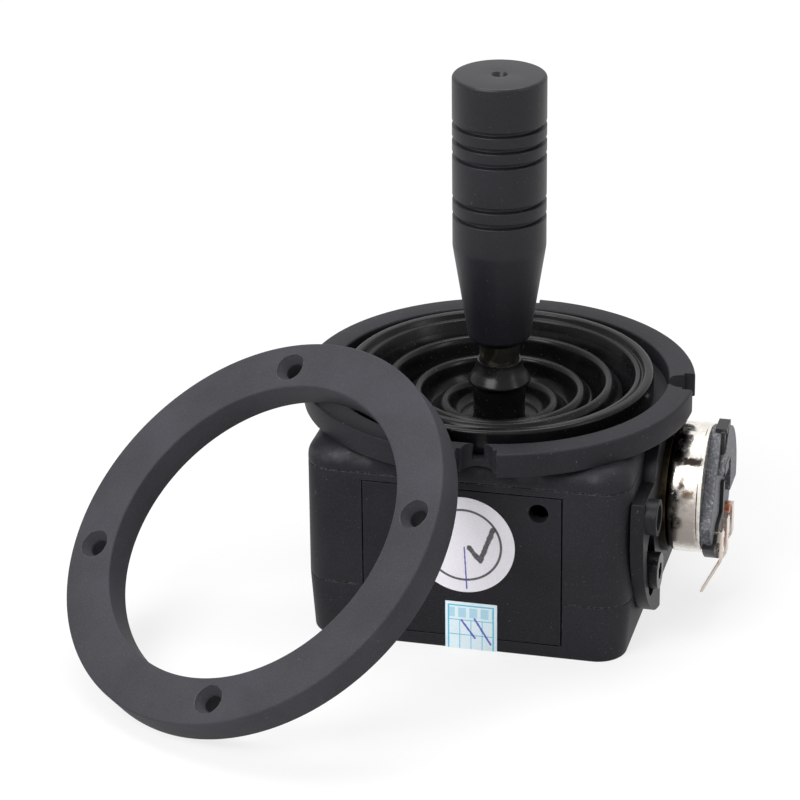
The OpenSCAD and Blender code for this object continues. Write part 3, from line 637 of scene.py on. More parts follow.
# The housing's band from 37.4 to 41.4 mm carries a painted highlight on the shoulder.
HOUSING = Moulding(
    "housing_plastic", (0.0142, 0.0138, 0.0172), seams=(36.65, 12.1), painted_sheen_bands=((37.4, 41.4),)
)
PANEL = Moulding("panel_plastic", (0.0120, 0.0118, 0.0148))
PLATE = Moulding("plate_plastic", (0.0085, 0.0083, 0.0105), rough=0.42, grain=0.22, shine=0.13)
INNER = Moulding("inner_plastic", (0.055, 0.055, 0.06), rough=0.5)
RING = Moulding(
    "ring_plastic",
    (0.036, 0.035, 0.041),
    rough=0.64,
    grain=0.24,
    depth=0.016,
    dust=0.06,
    edge=0.32,
    wear=0.75,
)
KNOB = Moulding(
    "knob_plastic",
    (0.0075, 0.0071, 0.0100),
    rough=0.42,
    grain=0.26,
    depth=0.030,
    dust=0.12,
    wear=0.7,
    shine=0.28,
    mould_line=-22.0,
    bleach=0.018,
)
BOOT = Rubber("boot_rubber", (0.0036, 0.0036, 0.0042))
SEAL_PAPER = Paper("white_paper", (0.80, 0.78, 0.83))
GRID_PAPER = Paper("cyan_paper", (0.76, 0.88, 0.94), Print.DATE_GRID)
ZINC = Plating("zinc_steel", (0.55, 0.56, 0.58), rough=0.3)
BRIGHT = Plating("bright_steel", (0.62, 0.62, 0.63), rough=0.18, stain_and_glint_share=0.15)
SPRING = Plating("spring_steel", (0.48, 0.48, 0.50), rough=0.25)
BLACKED = Plating(
    "black_steel", (0.045, 0.042, 0.036), tarnish_and_glint=(0.12, 0.11, 0.06), rough=0.38, stain_and_glint_share=0.6
)
SCREW = Moulding("blued_steel", (0.0060, 0.0060, 0.0070), rough=0.28, grain=0.4, shine=0.22)
YOKE = Plating("yoke_metal", (0.50, 0.51, 0.52), rough=0.36, stain_and_glint_share=0.25)
BRASS = Plating("bearing_brass", (0.72, 0.50, 0.22), tarnish_and_glint=(0.20, 0.12, 0.05), rough=0.28)
# Painted shade and glints: the near-black colour stands for the shade in the gap between plate and can,
# and the brighter tarnish colour paints brass glints.
WASHER = Plating(
    "shaded_brass_glints", (0.022, 0.017, 0.012), tarnish_and_glint=(0.20, 0.13, 0.05), rough=0.45, stain_and_glint_share=0.35
)
COPPER = Plating("rivet_copper", (0.60, 0.27, 0.17), tarnish_and_glint=(0.22, 0.08, 0.05), rough=0.3)
CLIP = Moulding("clip_plastic", (0.0070, 0.0070, 0.0080), rough=0.36, dust=0.10, shine=0.3)
# The can's dark and grey patches are painted reflections, added by CanPlating.
NICKEL = CanPlating(
    "nickel",
    (0.93, 0.885, 0.82),
    tarnish_and_glint=(0.30, 0.25, 0.20),
    rough=0.16,
    stain_and_glint_share=0.30,
    marks=(0.08, 1.0, 1.0),
)
WIPER = Moulding("wiper_plastic", (0.62, 0.58, 0.48), rough=0.45)
ELEMENT = Laminate("element_board", (0.19, 0.07, 0.03), fleck=(0.40, 0.20, 0.10))
PHENOLIC = Laminate("phenolic", (0.052, 0.055, 0.066))
TINNED = Plating(
    "tinned_brass", (0.66, 0.58, 0.52), tarnish_and_glint=(0.40, 0.22, 0.13), rough=0.26, stain_and_glint_share=0.45
)


def pots(*parts: str) -> tuple[str, ...]:
    """Nodes of those parts on the right and the rear potentiometer."""
    return tuple(f"{side}_pot_{part}" for part in parts for side in ("right", "rear"))


CAD_FINISHES: dict[Finish, tuple[str, ...]] = {
    HOUSING: ("base_cover", "body_shell", "top_housing"),
    PANEL: ("front_panel",),
    PLATE: pots("plate"),
    INNER: ("limit_plate",),
    RING: ("bezel_ring",),
    KNOB: ("knob",),
    BOOT: ("boot",),
    SEAL_PAPER: ("round_label",),
    GRID_PAPER: ("grid_label",),
    ZINC: ("housing_screws",),
    BRIGHT: ("pivot_pin", *pots("shaft")),
    SPRING: ("cross_yoke_spring", "slotted_yoke_spring"),
    BLACKED: ("lever_rod",),
    SCREW: ("right_plate_screws", "rear_plate_screws"),
    WASHER: pots("washer"),
    YOKE: ("cross_yoke", "slotted_yoke", "lever_hub"),
    BRASS: ("cross_yoke_bush", "slotted_yoke_bush", *pots("bushing", "nut")),
    NICKEL: pots("can"),
    WIPER: pots("wiper"),
    ELEMENT: pots("element"),
    PHENOLIC: pots("bar", "cap"),
    TINNED: pots("lugs"),
}


# ---------------------------------------------------------------- mesh tools


def fillet(
    corners: Sequence[tuple[float, float, float]], steps: int = 5, closed: bool = False
) -> list[Point]:
    """Rounds the corners of a line.

    Args:
        corners: Corner points, each with the radius it is rounded to.
        steps: Segments of each arc.
        closed: Whether the last corner joins the first.

    Returns:
        The rounded line's points.
    """
    made: list[Point] = []
    count = len(corners)
    for i, (x, y, radius) in enumerate(corners):
        here = Vector((x, y))
        if radius <= 0.0 or (not closed and i in (0, count - 1)):
            made.append((x, y))
            continue
        before = (Vector(corners[i - 1][:2]) - here).normalized()
        after = (Vector(corners[(i + 1) % count][:2]) - here).normalized()
        half = before.angle(after) / 2.0
        reach = radius / math.tan(half)
        centre = here + (before + after).normalized() * (radius / math.sin(half))
        first, last = here + before * reach - centre, here + after * reach - centre
        sweep = first.angle_signed(last)
        for k in range(steps + 1):
            turn = -sweep * k / steps
            c, s = math.cos(turn), math.sin(turn)
            spot = centre + Vector((first.x * c - first.y * s, first.x * s + first.y * c))
            made.append((spot.x, spot.y))
    return made


def spun(line: Sequence[Point], steps: int = 128, closed: bool = True) -> bmesh.types.BMesh:
    """Turns a line of radius and height round the Z axis.

    Args:
        line: Points of the profile.
        steps: Segments of the full turn.
        closed: Whether the profile is a loop.

    Returns:
        The turned shape.
    """
    bm = bmesh.new()
    verts = [bm.verts.new((r, 0.0, z)) for r, z in line]
    edges = [bm.edges.new(pair) for pair in zip(verts, verts[1:])]
    if closed:
        edges.append(bm.edges.new((verts[-1], verts[0])))
    bmesh.ops.spin(
        bm,
        geom=verts + edges,
        cent=(0, 0, 0),
        axis=(0, 0, 1),
        dvec=(0, 0, 0),
        angle=math.tau,
        steps=steps,
        use_merge=True,
        use_duplicate=False,
    )
    bmesh.ops.remove_doubles(bm, verts=bm.verts, dist=1e-5)
    bmesh.ops.recalc_face_normals(bm, faces=bm.faces)
    return bm


def slab(
    width: float, corner: float, low: float, high: float, segments: int = 10
) -> bmesh.types.BMesh:
    """Upright block with rounded corners.

    Args:
        width: Width across the flats.
        corner: Radius of the upright corners.
        low: Height of the lower face.
        high: Height of the upper face.
        segments: Segments of each corner.

    Returns:
        The block.
    """
    bm = bmesh.new()
    made = bmesh.ops.create_grid(
        bm, x_segments=1, y_segments=1, size=width / 2, matrix=Matrix.Translation((0, 0, low))
    )
    if corner > 0.0:
        bmesh.ops.bevel(
            bm,
            geom=made["verts"],
            offset=corner,
            segments=segments,
            affect="VERTICES",
            profile=0.5,
            material=-1,
        )
    grown = bmesh.ops.extrude_face_region(bm, geom=bm.faces[:])
    top = [item for item in grown["geom"] if isinstance(item, bmesh.types.BMVert)]
    bmesh.ops.translate(bm, verts=top, vec=(0, 0, high - low))
    bmesh.ops.recalc_face_normals(bm, faces=bm.faces)
    return bm


def soften(bm: bmesh.types.BMesh, height: float, radius: float, segments: int = 5) -> None:
    """Rounds the edges round the flat face at a height.

    Args:
        bm: Shape that is changed.
        height: Height of the face.
        radius: Radius of the rounding.
        segments: Segments of the rounding.
    """
    face = min(bm.faces, key=lambda f: abs(f.calc_center_median().z - height) - f.calc_area() * 1e-6)
    bmesh.ops.bevel(
        bm,
        geom=list(face.edges),
        offset=radius,
        segments=segments,
        affect="EDGES",
        profile=0.5,
        material=-1,
    )


def block(low: Sequence[float], high: Sequence[float]) -> bmesh.types.BMesh:
    """Plain box between two corners, used to cut others."""
    bm = bmesh.new()
    size = [b - a for a, b in zip(low, high)]
    middle = [(a + b) / 2 for a, b in zip(low, high)]
    place = Matrix.Translation(middle) @ Matrix.Diagonal((*size, 1.0))
    bmesh.ops.create_cube(bm, size=1.0, matrix=place)
    return bm


def rod(
    radius: float, low: float, high: float, place: Matrix = Matrix(), sides: int = 48
) -> bmesh.types.BMesh:
    """Round bar along Z between two heights, then moved.

    Args:
        radius: Radius of the bar.
        low: Lower end.
        high: Upper end.
        place: Where it goes.
        sides: Number of sides.

    Returns:
        The bar.
    """
    bm = bmesh.new()
    bmesh.ops.create_cone(
        bm,
        cap_ends=True,
        cap_tris=False,
        segments=sides,
        radius1=radius,
        radius2=radius,
        depth=high - low,
        matrix=place @ Matrix.Translation((0, 0, (low + high) / 2)),
    )
    return bm


def prism(outline: Sequence[Point], low: float, high: float) -> bmesh.types.BMesh:
    """Prism along X.

    Args:
        outline: Corners of its end, Y and Z.
        low: Lower end.
        high: Upper end.

    Returns:
        The prism.
    """
    bm = bmesh.new()
    face = bm.faces.new([bm.verts.new((low, y, z)) for y, z in outline])
    grown = bmesh.ops.extrude_face_region(bm, geom=[face])["geom"]
    fresh = [v for v in grown if isinstance(v, bmesh.types.BMVert)]
    bmesh.ops.translate(bm, vec=(high - low, 0, 0), verts=fresh)
    bmesh.ops.recalc_face_normals(bm, faces=bm.faces)
    return bm


def sector(inner: float, outer: float, start: float, end: float, steps: int = 12) -> list[Point]:
    """Outline of a part of a flat ring between two angles in degrees."""
    turns = [math.radians(start + (end - start) * k / steps) for k in range(steps + 1)]
    far = [(outer * math.cos(t), outer * math.sin(t)) for t in turns]
    return far + [(inner * math.cos(t), inner * math.sin(t)) for t in reversed(turns)]


def joined(parts: Iterable[bmesh.types.BMesh]) -> bmesh.types.BMesh:
    """One shape out of several, which are used up."""
    whole = bmesh.new()
    for bm in parts:
        mesh = bpy.data.meshes.new("part")
        bm.to_mesh(mesh)
        bm.free()
        whole.from_mesh(mesh)
        bpy.data.meshes.remove(mesh)
    return whole


def moved(bm: bmesh.types.BMesh, place: Matrix) -> bmesh.types.BMesh:
    """The same shape in another place."""
    bmesh.ops.transform(bm, matrix=place, verts=bm.verts)
    return bm


def piece(name: str, bm: bmesh.types.BMesh, finish: Finish, sharp: float = 32.0) -> bpy.types.Object:
    """Makes a finished object from a shape in millimetres.

    Args:
        name: Name of the piece.
        bm: Shape, which is used up.
        finish: Finish of the piece.
        sharp: Angle above which an edge stays sharp, degrees.

    Returns:
        The object, at the origin.
    """
    bmesh.ops.scale(bm, vec=(MM, MM, MM), verts=bm.verts)
    mesh = bpy.data.meshes.new(name)
    bm.to_mesh(mesh)
    bm.free()
    mesh.shade_smooth()
    mesh.set_sharp_from_angle(angle=math.radians(sharp))
    mesh.materials.append(finish.material())
    made = bpy.data.objects.new(name, mesh)
    bpy.context.scene.collection.objects.link(made)
    return made


def carve(obj: bpy.types.Object, cutters: Iterable[bmesh.types.BMesh], mode: str = "DIFFERENCE") -> None:
    """Cuts shapes out of a piece, or joins them to it.

    Args:
        obj: Piece that is changed.
        cutters: Shapes in millimetres, which are used up.
        mode: DIFFERENCE, UNION or INTERSECT.
    """
    tools = []
    for bm in cutters:
        bmesh.ops.recalc_face_normals(bm, faces=bm.faces)
        bmesh.ops.scale(bm, vec=(MM, MM, MM), verts=bm.verts)
        mesh = bpy.data.meshes.new("tool")
        bm.to_mesh(mesh)
        bm.free()
        tool = bpy.data.objects.new("tool", mesh)
        bpy.context.scene.collection.objects.link(tool)
        tools.append(tool)
        step = obj.modifiers.new("carve", "BOOLEAN")
        step.object, step.operation, step.solver = tool, mode, "EXACT"
    bpy.context.view_layer.update()
    graph = bpy.context.evaluated_depsgraph_get()
    result = bpy.data.meshes.new_from_object(obj.evaluated_get(graph))
    obj.modifiers.clear()
    old, obj.data = obj.data, result
    bpy.data.meshes.remove(old)
    for tool in tools:
        bpy.data.meshes.remove(tool.data)
    result.shade_smooth()
    result.set_sharp_from_angle(angle=math.radians(32.0))
    LOG.info("carved %s: %d faces", obj.name, len(result.polygons))


def settle(obj: bpy.types.Object, body: str, nodes: Sequence[str] = ()) -> bpy.types.Object:
    """Makes a piece ride on its body and stand for CAD nodes.

    Args:
        obj: The piece.
        body: Body that it moves with.
        nodes: CAD nodes that it stands for.

    Returns:
        The piece.
    """
    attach(obj, body)
    if nodes:
        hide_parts(*nodes)
    LOG.info("piece %s on %s", obj.name, body)
    return obj


# ---------------------------------------------------------------- sub-assemblies


@dataclass
class Housing:
    """Square housing: base cover, walls, shoulder and notched flange."""

    width: float = 65.4
    corner: float = 6.0
    base_height: float = 12.0
    wall_top: float = 36.6
    wall: float = 2.9
    floor: float = 2.5
    side_draft: float = 0.9
    foot_radius: float = 0.4
    post: float = 26.0
    post_half: float = 3.6
    panel: tuple = (-20.6, 19.85, 2.7, 35.1)
    nut_hole: float = 7.5
    shoulder_radius: float = 3.6
    flange_radius: float = 39.5
    flange_low: float = 41.1
    flange_top: float = 46.1
    rim_inner: float = 34.3
    recess: float = 42.1
    boot_hole: float = 27.0
    notch_half: float = 4.05
    notch_bore: float = 3.1
    notch_bore_at: float = 37.1
    notch_turn: float = 5.7
    axis_height: float = 24.8
    label_sides: Point = (-3.7, 6.8)
    label_ends: Point = (0.15, 10.45)
    paper: float = 0.12

    def _cavity(self, low: float, high: float) -> list[bmesh.types.BMesh]:
        """Room inside the walls between the corner posts.

        Args:
            low: Lower end.
            high: Upper end.

        Returns:
            Two crossing boxes.
        """
        wide = self.width / 2 - self.wall
        slim = self.post - self.post_half
        return [
            block((-wide, -slim, low), (wide, slim, high)),
            block((-slim, -wide, low), (slim, wide, high)),
        ]

    def _opening(self) -> bmesh.types.BMesh:
        """Room for the front panel."""
        x0, x1, z0, z1 = self.panel
        front = -self.width / 2
        return block((x0, front - 2, z0), (x1, front + self.wall + 1, z1))

    def _posts(self) -> list[Matrix]:
        """Places of the four corner screws."""
        return [
            Matrix.Translation((x * self.post, y * self.post, 0)) for x in (-1, 1) for y in (-1, 1)
        ]

    def _notch(self, number: int) -> Matrix:
        """Turn to one of the four notches."""
        return Matrix.Rotation(math.radians(self.notch_turn + 90 * number), 4, "Z")

    def base(self) -> bpy.types.Object:
        """Base cover with drafted right and left sides and a softened lower edge."""
        bm = slab(self.width, self.corner, 0.0, self.base_height)
        foot = [v for v in bm.verts if v.co.z < 0.1]
        share = 1.0 - 2 * self.side_draft / self.width
        bmesh.ops.scale(bm, vec=(share, 1.0, 1.0), verts=foot)
        soften(bm, 0.0, self.foot_radius)
        soften(bm, self.base_height, 0.25, 2)
        made = piece("base_cover_shell", bm, HOUSING)
        tools = self._cavity(self.floor, self.base_height + 1) + [self._opening()]
        tools += [rod(2.85, -1, 2.5, spot) for spot in self._posts()]
        tools += [rod(1.6, -1, self.base_height + 1, spot) for spot in self._posts()]
        carve(made, tools)
        return settle(made, "housing", ["base_cover"])

    def walls(self) -> bpy.types.Object:
        """Upright walls with the panel's opening and the potentiometers' holes."""
        bm = slab(self.width, self.corner, self.base_height, self.wall_top)
        soften(bm, self.base_height, 0.25, 2)
        soften(bm, self.wall_top, 0.25, 2)
        made = piece("body_shell_walls", bm, HOUSING)
        tools = self._cavity(self.base_height - 1, self.wall_top + 1) + [self._opening()]
        for turn in (0.0, 90.0):
            place = (
                Matrix.Rotation(math.radians(turn), 4, "Z")
                @ Matrix.Translation((0, 0, self.axis_height))
                @ Matrix.Rotation(math.radians(90), 4, "Y")
            )
            tools.append(rod(self.nut_hole, 25, 40, place))
        tools += [rod(1.6, self.base_height - 1, self.wall_top + 1, spot) for spot in self._posts()]
        carve(made, tools)
        return settle(made, "housing", ["body_shell"])

    def shoulder(self) -> bpy.types.Object:
        """Soft shoulder between the walls and the flange."""
        bm = slab(self.width, self.corner, self.wall_top, self.flange_low + 0.15)
        soften(bm, self.flange_low + 0.15, self.shoulder_radius, 8)
        soften(bm, self.wall_top, 0.25, 2)
        made = piece("top_housing_shoulder", bm, HOUSING, 40.0)
        tools = self._cavity(self.wall_top - 1, self.flange_low + 1)
        for turn in range(4):
            tools.append(
                moved(
                    block(
                        (self.notch_bore_at, -self.notch_half, self.flange_low - 0.6),
                        (60, self.notch_half, 50),
                    ),
                    self._notch(turn),
                )
            )
        carve(made, tools)
        return settle(made, "housing")

    def flange(self) -> bpy.types.Object:
        """Round flange with a raised rim, a boot collar and four keyed notches."""
        line = fillet(
            [
                (self.boot_hole, self.flange_low, 0.2),
                (self.flange_radius, self.flange_low, 0.35),
                (self.flange_radius, self.flange_top, 0.5),
                (self.rim_inner - 0.15, self.flange_top, 0.45),
                (self.rim_inner, self.recess, 0.5),
                (29.2, self.recess, 0.0),
                (29.2, self.recess + 2.4, 0.2),
                (27.9, self.recess + 2.4, 0.2),
                (27.9, self.recess, 0.0),
                (self.boot_hole, self.recess, 0.2),
            ],
            4,
            True,
        )
        made = piece("top_housing_flange", spun(line, 160), HOUSING)
        tools = []
        for turn in range(4):
            place = self._notch(turn)
            tools.append(
                moved(
                    block(
                        (self.notch_bore_at, -self.notch_half, 38),
                        (50, self.notch_half, 50),
                    ),
                    place,
                )
            )
            tools.append(
                rod(
                    self.notch_bore,
                    38,
                    50,
                    place @ Matrix.Translation((self.notch_bore_at, 0, 0)),
                )
            )
        carve(made, tools)
        return settle(made, "housing", ["top_housing"])

    def label(self) -> bpy.types.Object:
        """Square label over the joint of the panel and the base cover."""
        front = -self.width / 2
        near, far = front - self.paper, front - 0.01
        low, high = self.label_ends
        outline = [(near, high), (near, low), (far, low), (far, high)]
        made = piece("grid_label_paper", prism(outline, *self.label_sides), GRID_PAPER)
        return settle(made, "housing", ["grid_label"])

    def build(self) -> None:
        """Builds the housing's pieces."""
        for make in (self.base, self.walls, self.shoulder, self.flange, self.label):
            make()


@dataclass
class Boot:
    """Bellows boot: a rim, seven bands, and the neck on the lever."""

    sheet: float = 1.0
    steps: int = 144
    bands: tuple = (
        ((25.3, 40.6), (24.9, 42.2), (23.9, 43.0), (23.3, 44.2), (22.3, 45.0)),
        ((22.3, 45.0), (21.3, 44.4), (20.6, 41.2), (19.4, 39.2)),
        ((19.4, 39.2), (18.9, 40.9), (18.2, 41.2), (17.6, 42.2), (16.6, 42.9)),
        ((16.6, 42.9), (15.6, 42.3), (15.0, 39.6), (13.8, 38.0)),
        ((13.8, 38.0), (12.7, 38.9), (12.0, 40.0), (10.9, 40.5)),
        ((10.9, 40.5), (10.0, 39.8), (9.2, 37.8), (7.8, 37.0)),
        ((7.8, 37.0), (6.4, 36.9), (5.2, 36.6)),
    )

    def rim(self) -> bpy.types.Object:
        """Thick rim that grips the flange's collar."""
        line = fillet(
            [
                (29.5, 42.15, 0.1),
                (31.2, 42.15, 0.2),
                (31.2, 47.2, 0.8),
                (29.35, 47.2, 0.5),
                (28.9, 45.9, 0.25),
                (28.3, 46.4, 0.25),
                (27.5, 46.3, 0.45),
                (26.9, 44.4, 0.6),
                (26.2, 42.6, 0.8),
                (25.3, 40.6, 0.0),
                (25.0, 39.8, 0.0),
                (25.7, 39.9, 0.4),
                (26.8, 42.0, 0.3),
                (27.4, 44.7, 0.3),
                (29.5, 44.9, 0.2),
            ],
            6,
            True,
        )
        made = piece("boot_rim", spun(line, self.steps), BOOT, 50.0)
        return settle(made, "housing", ["boot"])

    def _share(self, weight: float) -> float:
        """Place along a smooth step at which it has a value."""
        return 0.5 - math.sin(math.asin(1.0 - 2.0 * weight) / 3.0)

    def band(self, number: int, bodies: tuple[str, str], weights: tuple[float, float]) -> None:
        """One band of the bellows, spun with a wall; it does not follow the two bodies.

        Args:
            number: Which band, from the rim inwards.
            bodies: Bodies that it lies between, which are only logged.
            weights: How far its outer and inner edges would follow the second body; the heights worked
                out from them are not used.
        """
        line = self._curve(self.bands[number])
        bm = spun(line, self.steps, closed=False)
        facing = sum(f.normal.z * f.calc_area() for f in bm.faces)
        if facing < 0:
            bmesh.ops.reverse_faces(bm, faces=bm.faces)
        made = piece(f"boot_band_{number + 1}", bm, BOOT, 60.0)
        wall = made.modifiers.new("wall", "SOLIDIFY")
        wall.thickness, wall.offset = self.sheet * MM, -1.0
        outer, inner = line[0][1] * MM, line[-1][1] * MM
        ta, tb = self._share(weights[0]), self._share(weights[1])
        span = (inner - outer) / (tb - ta)
        start = outer - ta * span
        start + span
        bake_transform(made)
        LOG.info("piece %s between %s and %s", made.name, *bodies)

    @staticmethod
    def _curve(points: Sequence[Point], steps: int = 6) -> list[Point]:
        """Smooth line through the points, level at both ends.

        Args:
            points: Points of the line.
            steps: Segments between neighbours.

        Returns:
            The finer line.
        """
        first = (2 * points[0][0] - points[1][0], points[1][1])
        last = (2 * points[-1][0] - points[-2][0], points[-2][1])
        full = [first, *points, last]
        made: list[Point] = []
        for a, b, c, d in zip(full, full[1:], full[2:], full[3:]):
            for k in range(steps):
                t = k / steps
                made.append(
                    tuple(
                        0.5
                        * (
                            2 * b[i]
                            + (c[i] - a[i]) * t
                            + (2 * a[i] - 5 * b[i] + 4 * c[i] - d[i]) * t * t
                            + (3 * b[i] - a[i] - 3 * c[i] + d[i]) * t**3
                        )
                        for i in (0, 1)
                    )
                )
        made.append(points[-1])
        return made

    def neck(self) -> bpy.types.Object:
        """Neck and flared collar that grip the rod."""
        flare = [
            (5.3, 43.9),
            (6.1, 44.4),
            (6.3, 44.85),
            (5.85, 45.7),
            (5.1, 46.9),
            (4.65, 48.2),
            (4.45, 49.25),
        ]
        line = [(4.08, 36.0), (5.2, 35.9), *self._curve(flare), (4.08, 49.25)]
        made = piece("boot_neck", spun(line, 96), BOOT, 50.0)
        return settle(made, "lever_body")

    def build(self) -> None:
        """Builds the boot's pieces."""
        self.rim()
        outer = ("housing", "cross_yoke_body")
        inner = ("cross_yoke_body", "lever_body")
        for number, (bodies, weights) in enumerate(
            [
                (outer, (0.0, 0.28)),
                (outer, (0.28, 0.58)),
                (outer, (0.58, 0.85)),
                (outer, (0.85, 1.0)),
                (inner, (0.0, 0.42)),
                (inner, (0.42, 0.85)),
                (inner, (0.85, 1.0)),
            ]
        ):
            self.band(number, bodies, weights)
        self.neck()


@dataclass
class Knob:
    """Grooved grip on the lever."""

    top: float = 109.6
    low: float = 53.2
    radius: float = 9.36
    neck_radius: float = 6.7
    neck: float = 57.2
    taper: float = 74.0
    grooves: tuple = (100.0, 96.7, 93.5, 84.3, 80.9)
    groove_half: float = 0.56
    groove_depth: float = 0.85

    def build(self) -> None:
        """Builds the grip."""
        r, half, deep = self.radius, self.groove_half, self.groove_depth
        corners = [
            (0.0, self.top - 1.15, 0.0),
            (0.95, self.top - 1.1, 0.2),
            (1.6, self.top, 0.25),
            (r, self.top, 0.7),
        ]
        for z in self.grooves:
            corners += [
                (r, z + half, 0.12),
                (r - deep, z + half * 0.45, 0.08),
                (r - deep, z - half * 0.45, 0.08),
                (r, z - half, 0.12),
            ]
        corners += [
            (r, self.taper, 6.0),
            (self.neck_radius, self.neck, 3.0),
            (self.neck_radius - 0.35, self.low + 1.4, 1.0),
            (4.7, self.low, 0.3),
            (4.05, self.low, 0.1),
            (4.05, 78.0, 0.0),
            (0.0, 78.0, 0.0),
        ]
        made = piece("knob_grip", spun(fillet(corners, 5), 128, closed=False), KNOB, 38.0)
        settle(made, "lever_body", ["knob"])


@dataclass
class BezelRing:
    """Loose ring with four countersunk holes, leaning on the flange."""

    outer: float = 42.2
    bore: float = 32.2
    thick: float = 6.4
    hole_circle: float = 36.93
    hole: float = 1.8
    sink: float = 3.0
    lean: float = 40.12
    azimuth: float = -123.35
    spin: float = 26.4
    centre: Point = (-37.6, -52.82)

    def place(self) -> Matrix:
        """Where the ring's front centre and face are."""
        height = self.thick * math.cos(math.radians(self.lean))
        height += self.outer * math.sin(math.radians(self.lean))
        return (
            Matrix.Translation((*self.centre, height))
            @ Matrix.Rotation(math.radians(self.azimuth + 90), 4, "Z")
            @ Matrix.Rotation(math.radians(self.lean), 4, "X")
        )

    def build(self) -> None:
        """Builds the ring."""
        line = fillet(
            [
                (self.bore, -self.thick, 0.35),
                (self.outer, -self.thick, 0.35),
                (self.outer, 0.0, 0.45),
                (self.bore, 0.0, 0.4),
            ],
            4,
            True,
        )
        made = piece("bezel_ring_body", moved(spun(line, 192), self.place()), RING)
        tools = []
        for turn in range(4):
            spot = Matrix.Rotation(math.radians(self.spin + 90 * turn), 4, "Z")
            spot = self.place() @ spot @ Matrix.Translation((self.hole_circle, 0, 0))
            shape = fillet(
                [
                    (0.0, -self.thick - 1, 0.0),
                    (self.hole, -self.thick - 1, 0.0),
                    (self.hole, -1.9, 0.1),
                    (self.sink, -0.25, 0.2),
                    (self.sink + 0.15, 1.0, 0.0),
                    (0.0, 1.0, 0.0),
                ],
                3,
            )
            tools.append(moved(spun(shape, 40, closed=False), spot))
        carve(made, tools)
        settle(made, "ring_body", ["bezel_ring"])


class Side(Enum):
    """Side of the housing that a potentiometer is on."""

    RIGHT = 0.0
    REAR = 90.0


@dataclass
class Potentiometer:
    """Metal can with a turned-in end, crimp tabs, rivets and a black clip on its board."""

    side: Side
    axis_height: float = 24.84
    can_start: float = 36.6
    can_radius: float = 13.17
    can_end: float = 43.6
    mouth: float = 7.1
    board_end: float = 45.7
    tabs: tuple = (-115.0, 5.0)
    tab_half: float = 20.0
    tab_inner: float = 13.06
    tab_outer: float = 13.36
    fold_inner: float = 12.0
    rivets: tuple = ((5.3, -6.5), (1.5, -9.0), (-2.3, -10.8))
    rivet: float = 1.1
    arm: tuple = (
        (-9.5, -9.0),
        (-5.5, -5.4),
        (-1.2, -4.5),
        (-0.5, 1.7),
        (0.9, 1.7),
        (0.9, -7.5),
        (-2.5, -12.4),
    )
    rivet_height: float = 1.2

    def _named(self, part: str) -> str:
        """Name of a piece on this side."""
        return f"{self.side.name.lower()}_{part}"

    def _frame(self) -> Matrix:
        """Turns a shape made with the potentiometer's axis along X onto its side."""
        return Matrix.Rotation(math.radians(self.side.value), 4, "Z") @ Matrix.Translation(
            (0, 0, self.axis_height)
        )

    def can(self) -> None:
        """Drawn can with a groove by its turned-in end."""
        r, x0, x1 = self.can_radius, self.can_start, self.can_end
        line = fillet(
            [
                (3.1, x0, 0.0),
                (r, x0, 1.5),
                (r, x1 - 1.15, 0.1),
                (r - 0.06, x1 - 0.98, 0.1),
                (r - 0.06, x1 - 0.86, 0.1),
                (r, x1 - 0.69, 0.1),
                (r, x1 - 0.02, 0.35),
                (self.mouth, x1 - 0.02, 0.05),
                (self.mouth, x1 - 0.5, 0.05),
                (r - 0.62, x1 - 0.5, 0.1),
                (r - 0.62, x0 + 0.6, 0.6),
                (3.1, x0 + 0.6, 0.0),
            ],
            5,
            True,
        )
        place = self._frame() @ Matrix.Rotation(math.radians(90), 4, "Y")
        made = piece(self._named("can_shell"), moved(spun(line, 128), place), NICKEL)
        settle(made, "housing", [self._named("pot_can")])

    def crimps(self) -> None:
        """Tabs of the can that are bent over the board's rim."""
        parts = []
        for middle in self.tabs:
            span = (middle - self.tab_half, middle + self.tab_half)
            wall = sector(self.tab_inner, self.tab_outer, *span)
            fold = sector(self.fold_inner, self.tab_outer, *span)
            parts.append(prism(wall, self.can_end - 0.2, self.board_end + 0.1))
            parts.append(prism(fold, self.board_end + 0.05, self.board_end + 0.4))
        made = piece(self._named("crimp_tabs"), moved(joined(parts), self._frame()), NICKEL)
        settle(made, "housing")

    def clip(self) -> None:
        """Black clip that is hooked over the board's upper edge, and a thin black strip on the board
        that stands for the shade in a groove.
        """
        end = self.board_end
        parts = [
            block((44.4, -0.6, 12.3), (end + 1.0, 4.4, 13.5)),
            block((end, -1.8, 6.0), (end + 0.8, -0.3, 13.2)),
            block((end, -2.3, 4.0), (end + 1.2, 2.0, 6.4)),
            # Painted shade: a 0.2 mm black strip on the board's face stands for the dark shade of a
            # groove.
            block((end, -0.4, -7.0), (end + 0.2, 1.0, 1.7)),
            prism(self.arm, end, end + 0.7),
            prism(sector(12.6, 14.0, -143.0, -98.0), 43.9, end + 0.7),
        ]
        made = piece(self._named("clip"), moved(joined(parts), self._frame()), CLIP)
        settle(made, "housing")

    def rivet_heads(self) -> None:
        """Copper rivets below the lugs."""
        end = self.board_end
        turned = Matrix.Rotation(math.radians(90), 4, "Y")
        parts = [
            rod(self.rivet, end, end + self.rivet_height, Matrix.Translation((0, y, z)) @ turned, 24)
            for y, z in self.rivets
        ]
        made = piece(self._named("rivets"), moved(joined(parts), self._frame()), COPPER)
        settle(made, "housing")

    def build(self) -> None:
        """Builds the potentiometer's pieces."""
        for make in (self.can, self.crimps, self.clip, self.rivet_heads):
            make()


# ---------------------------------------------------------------- studio


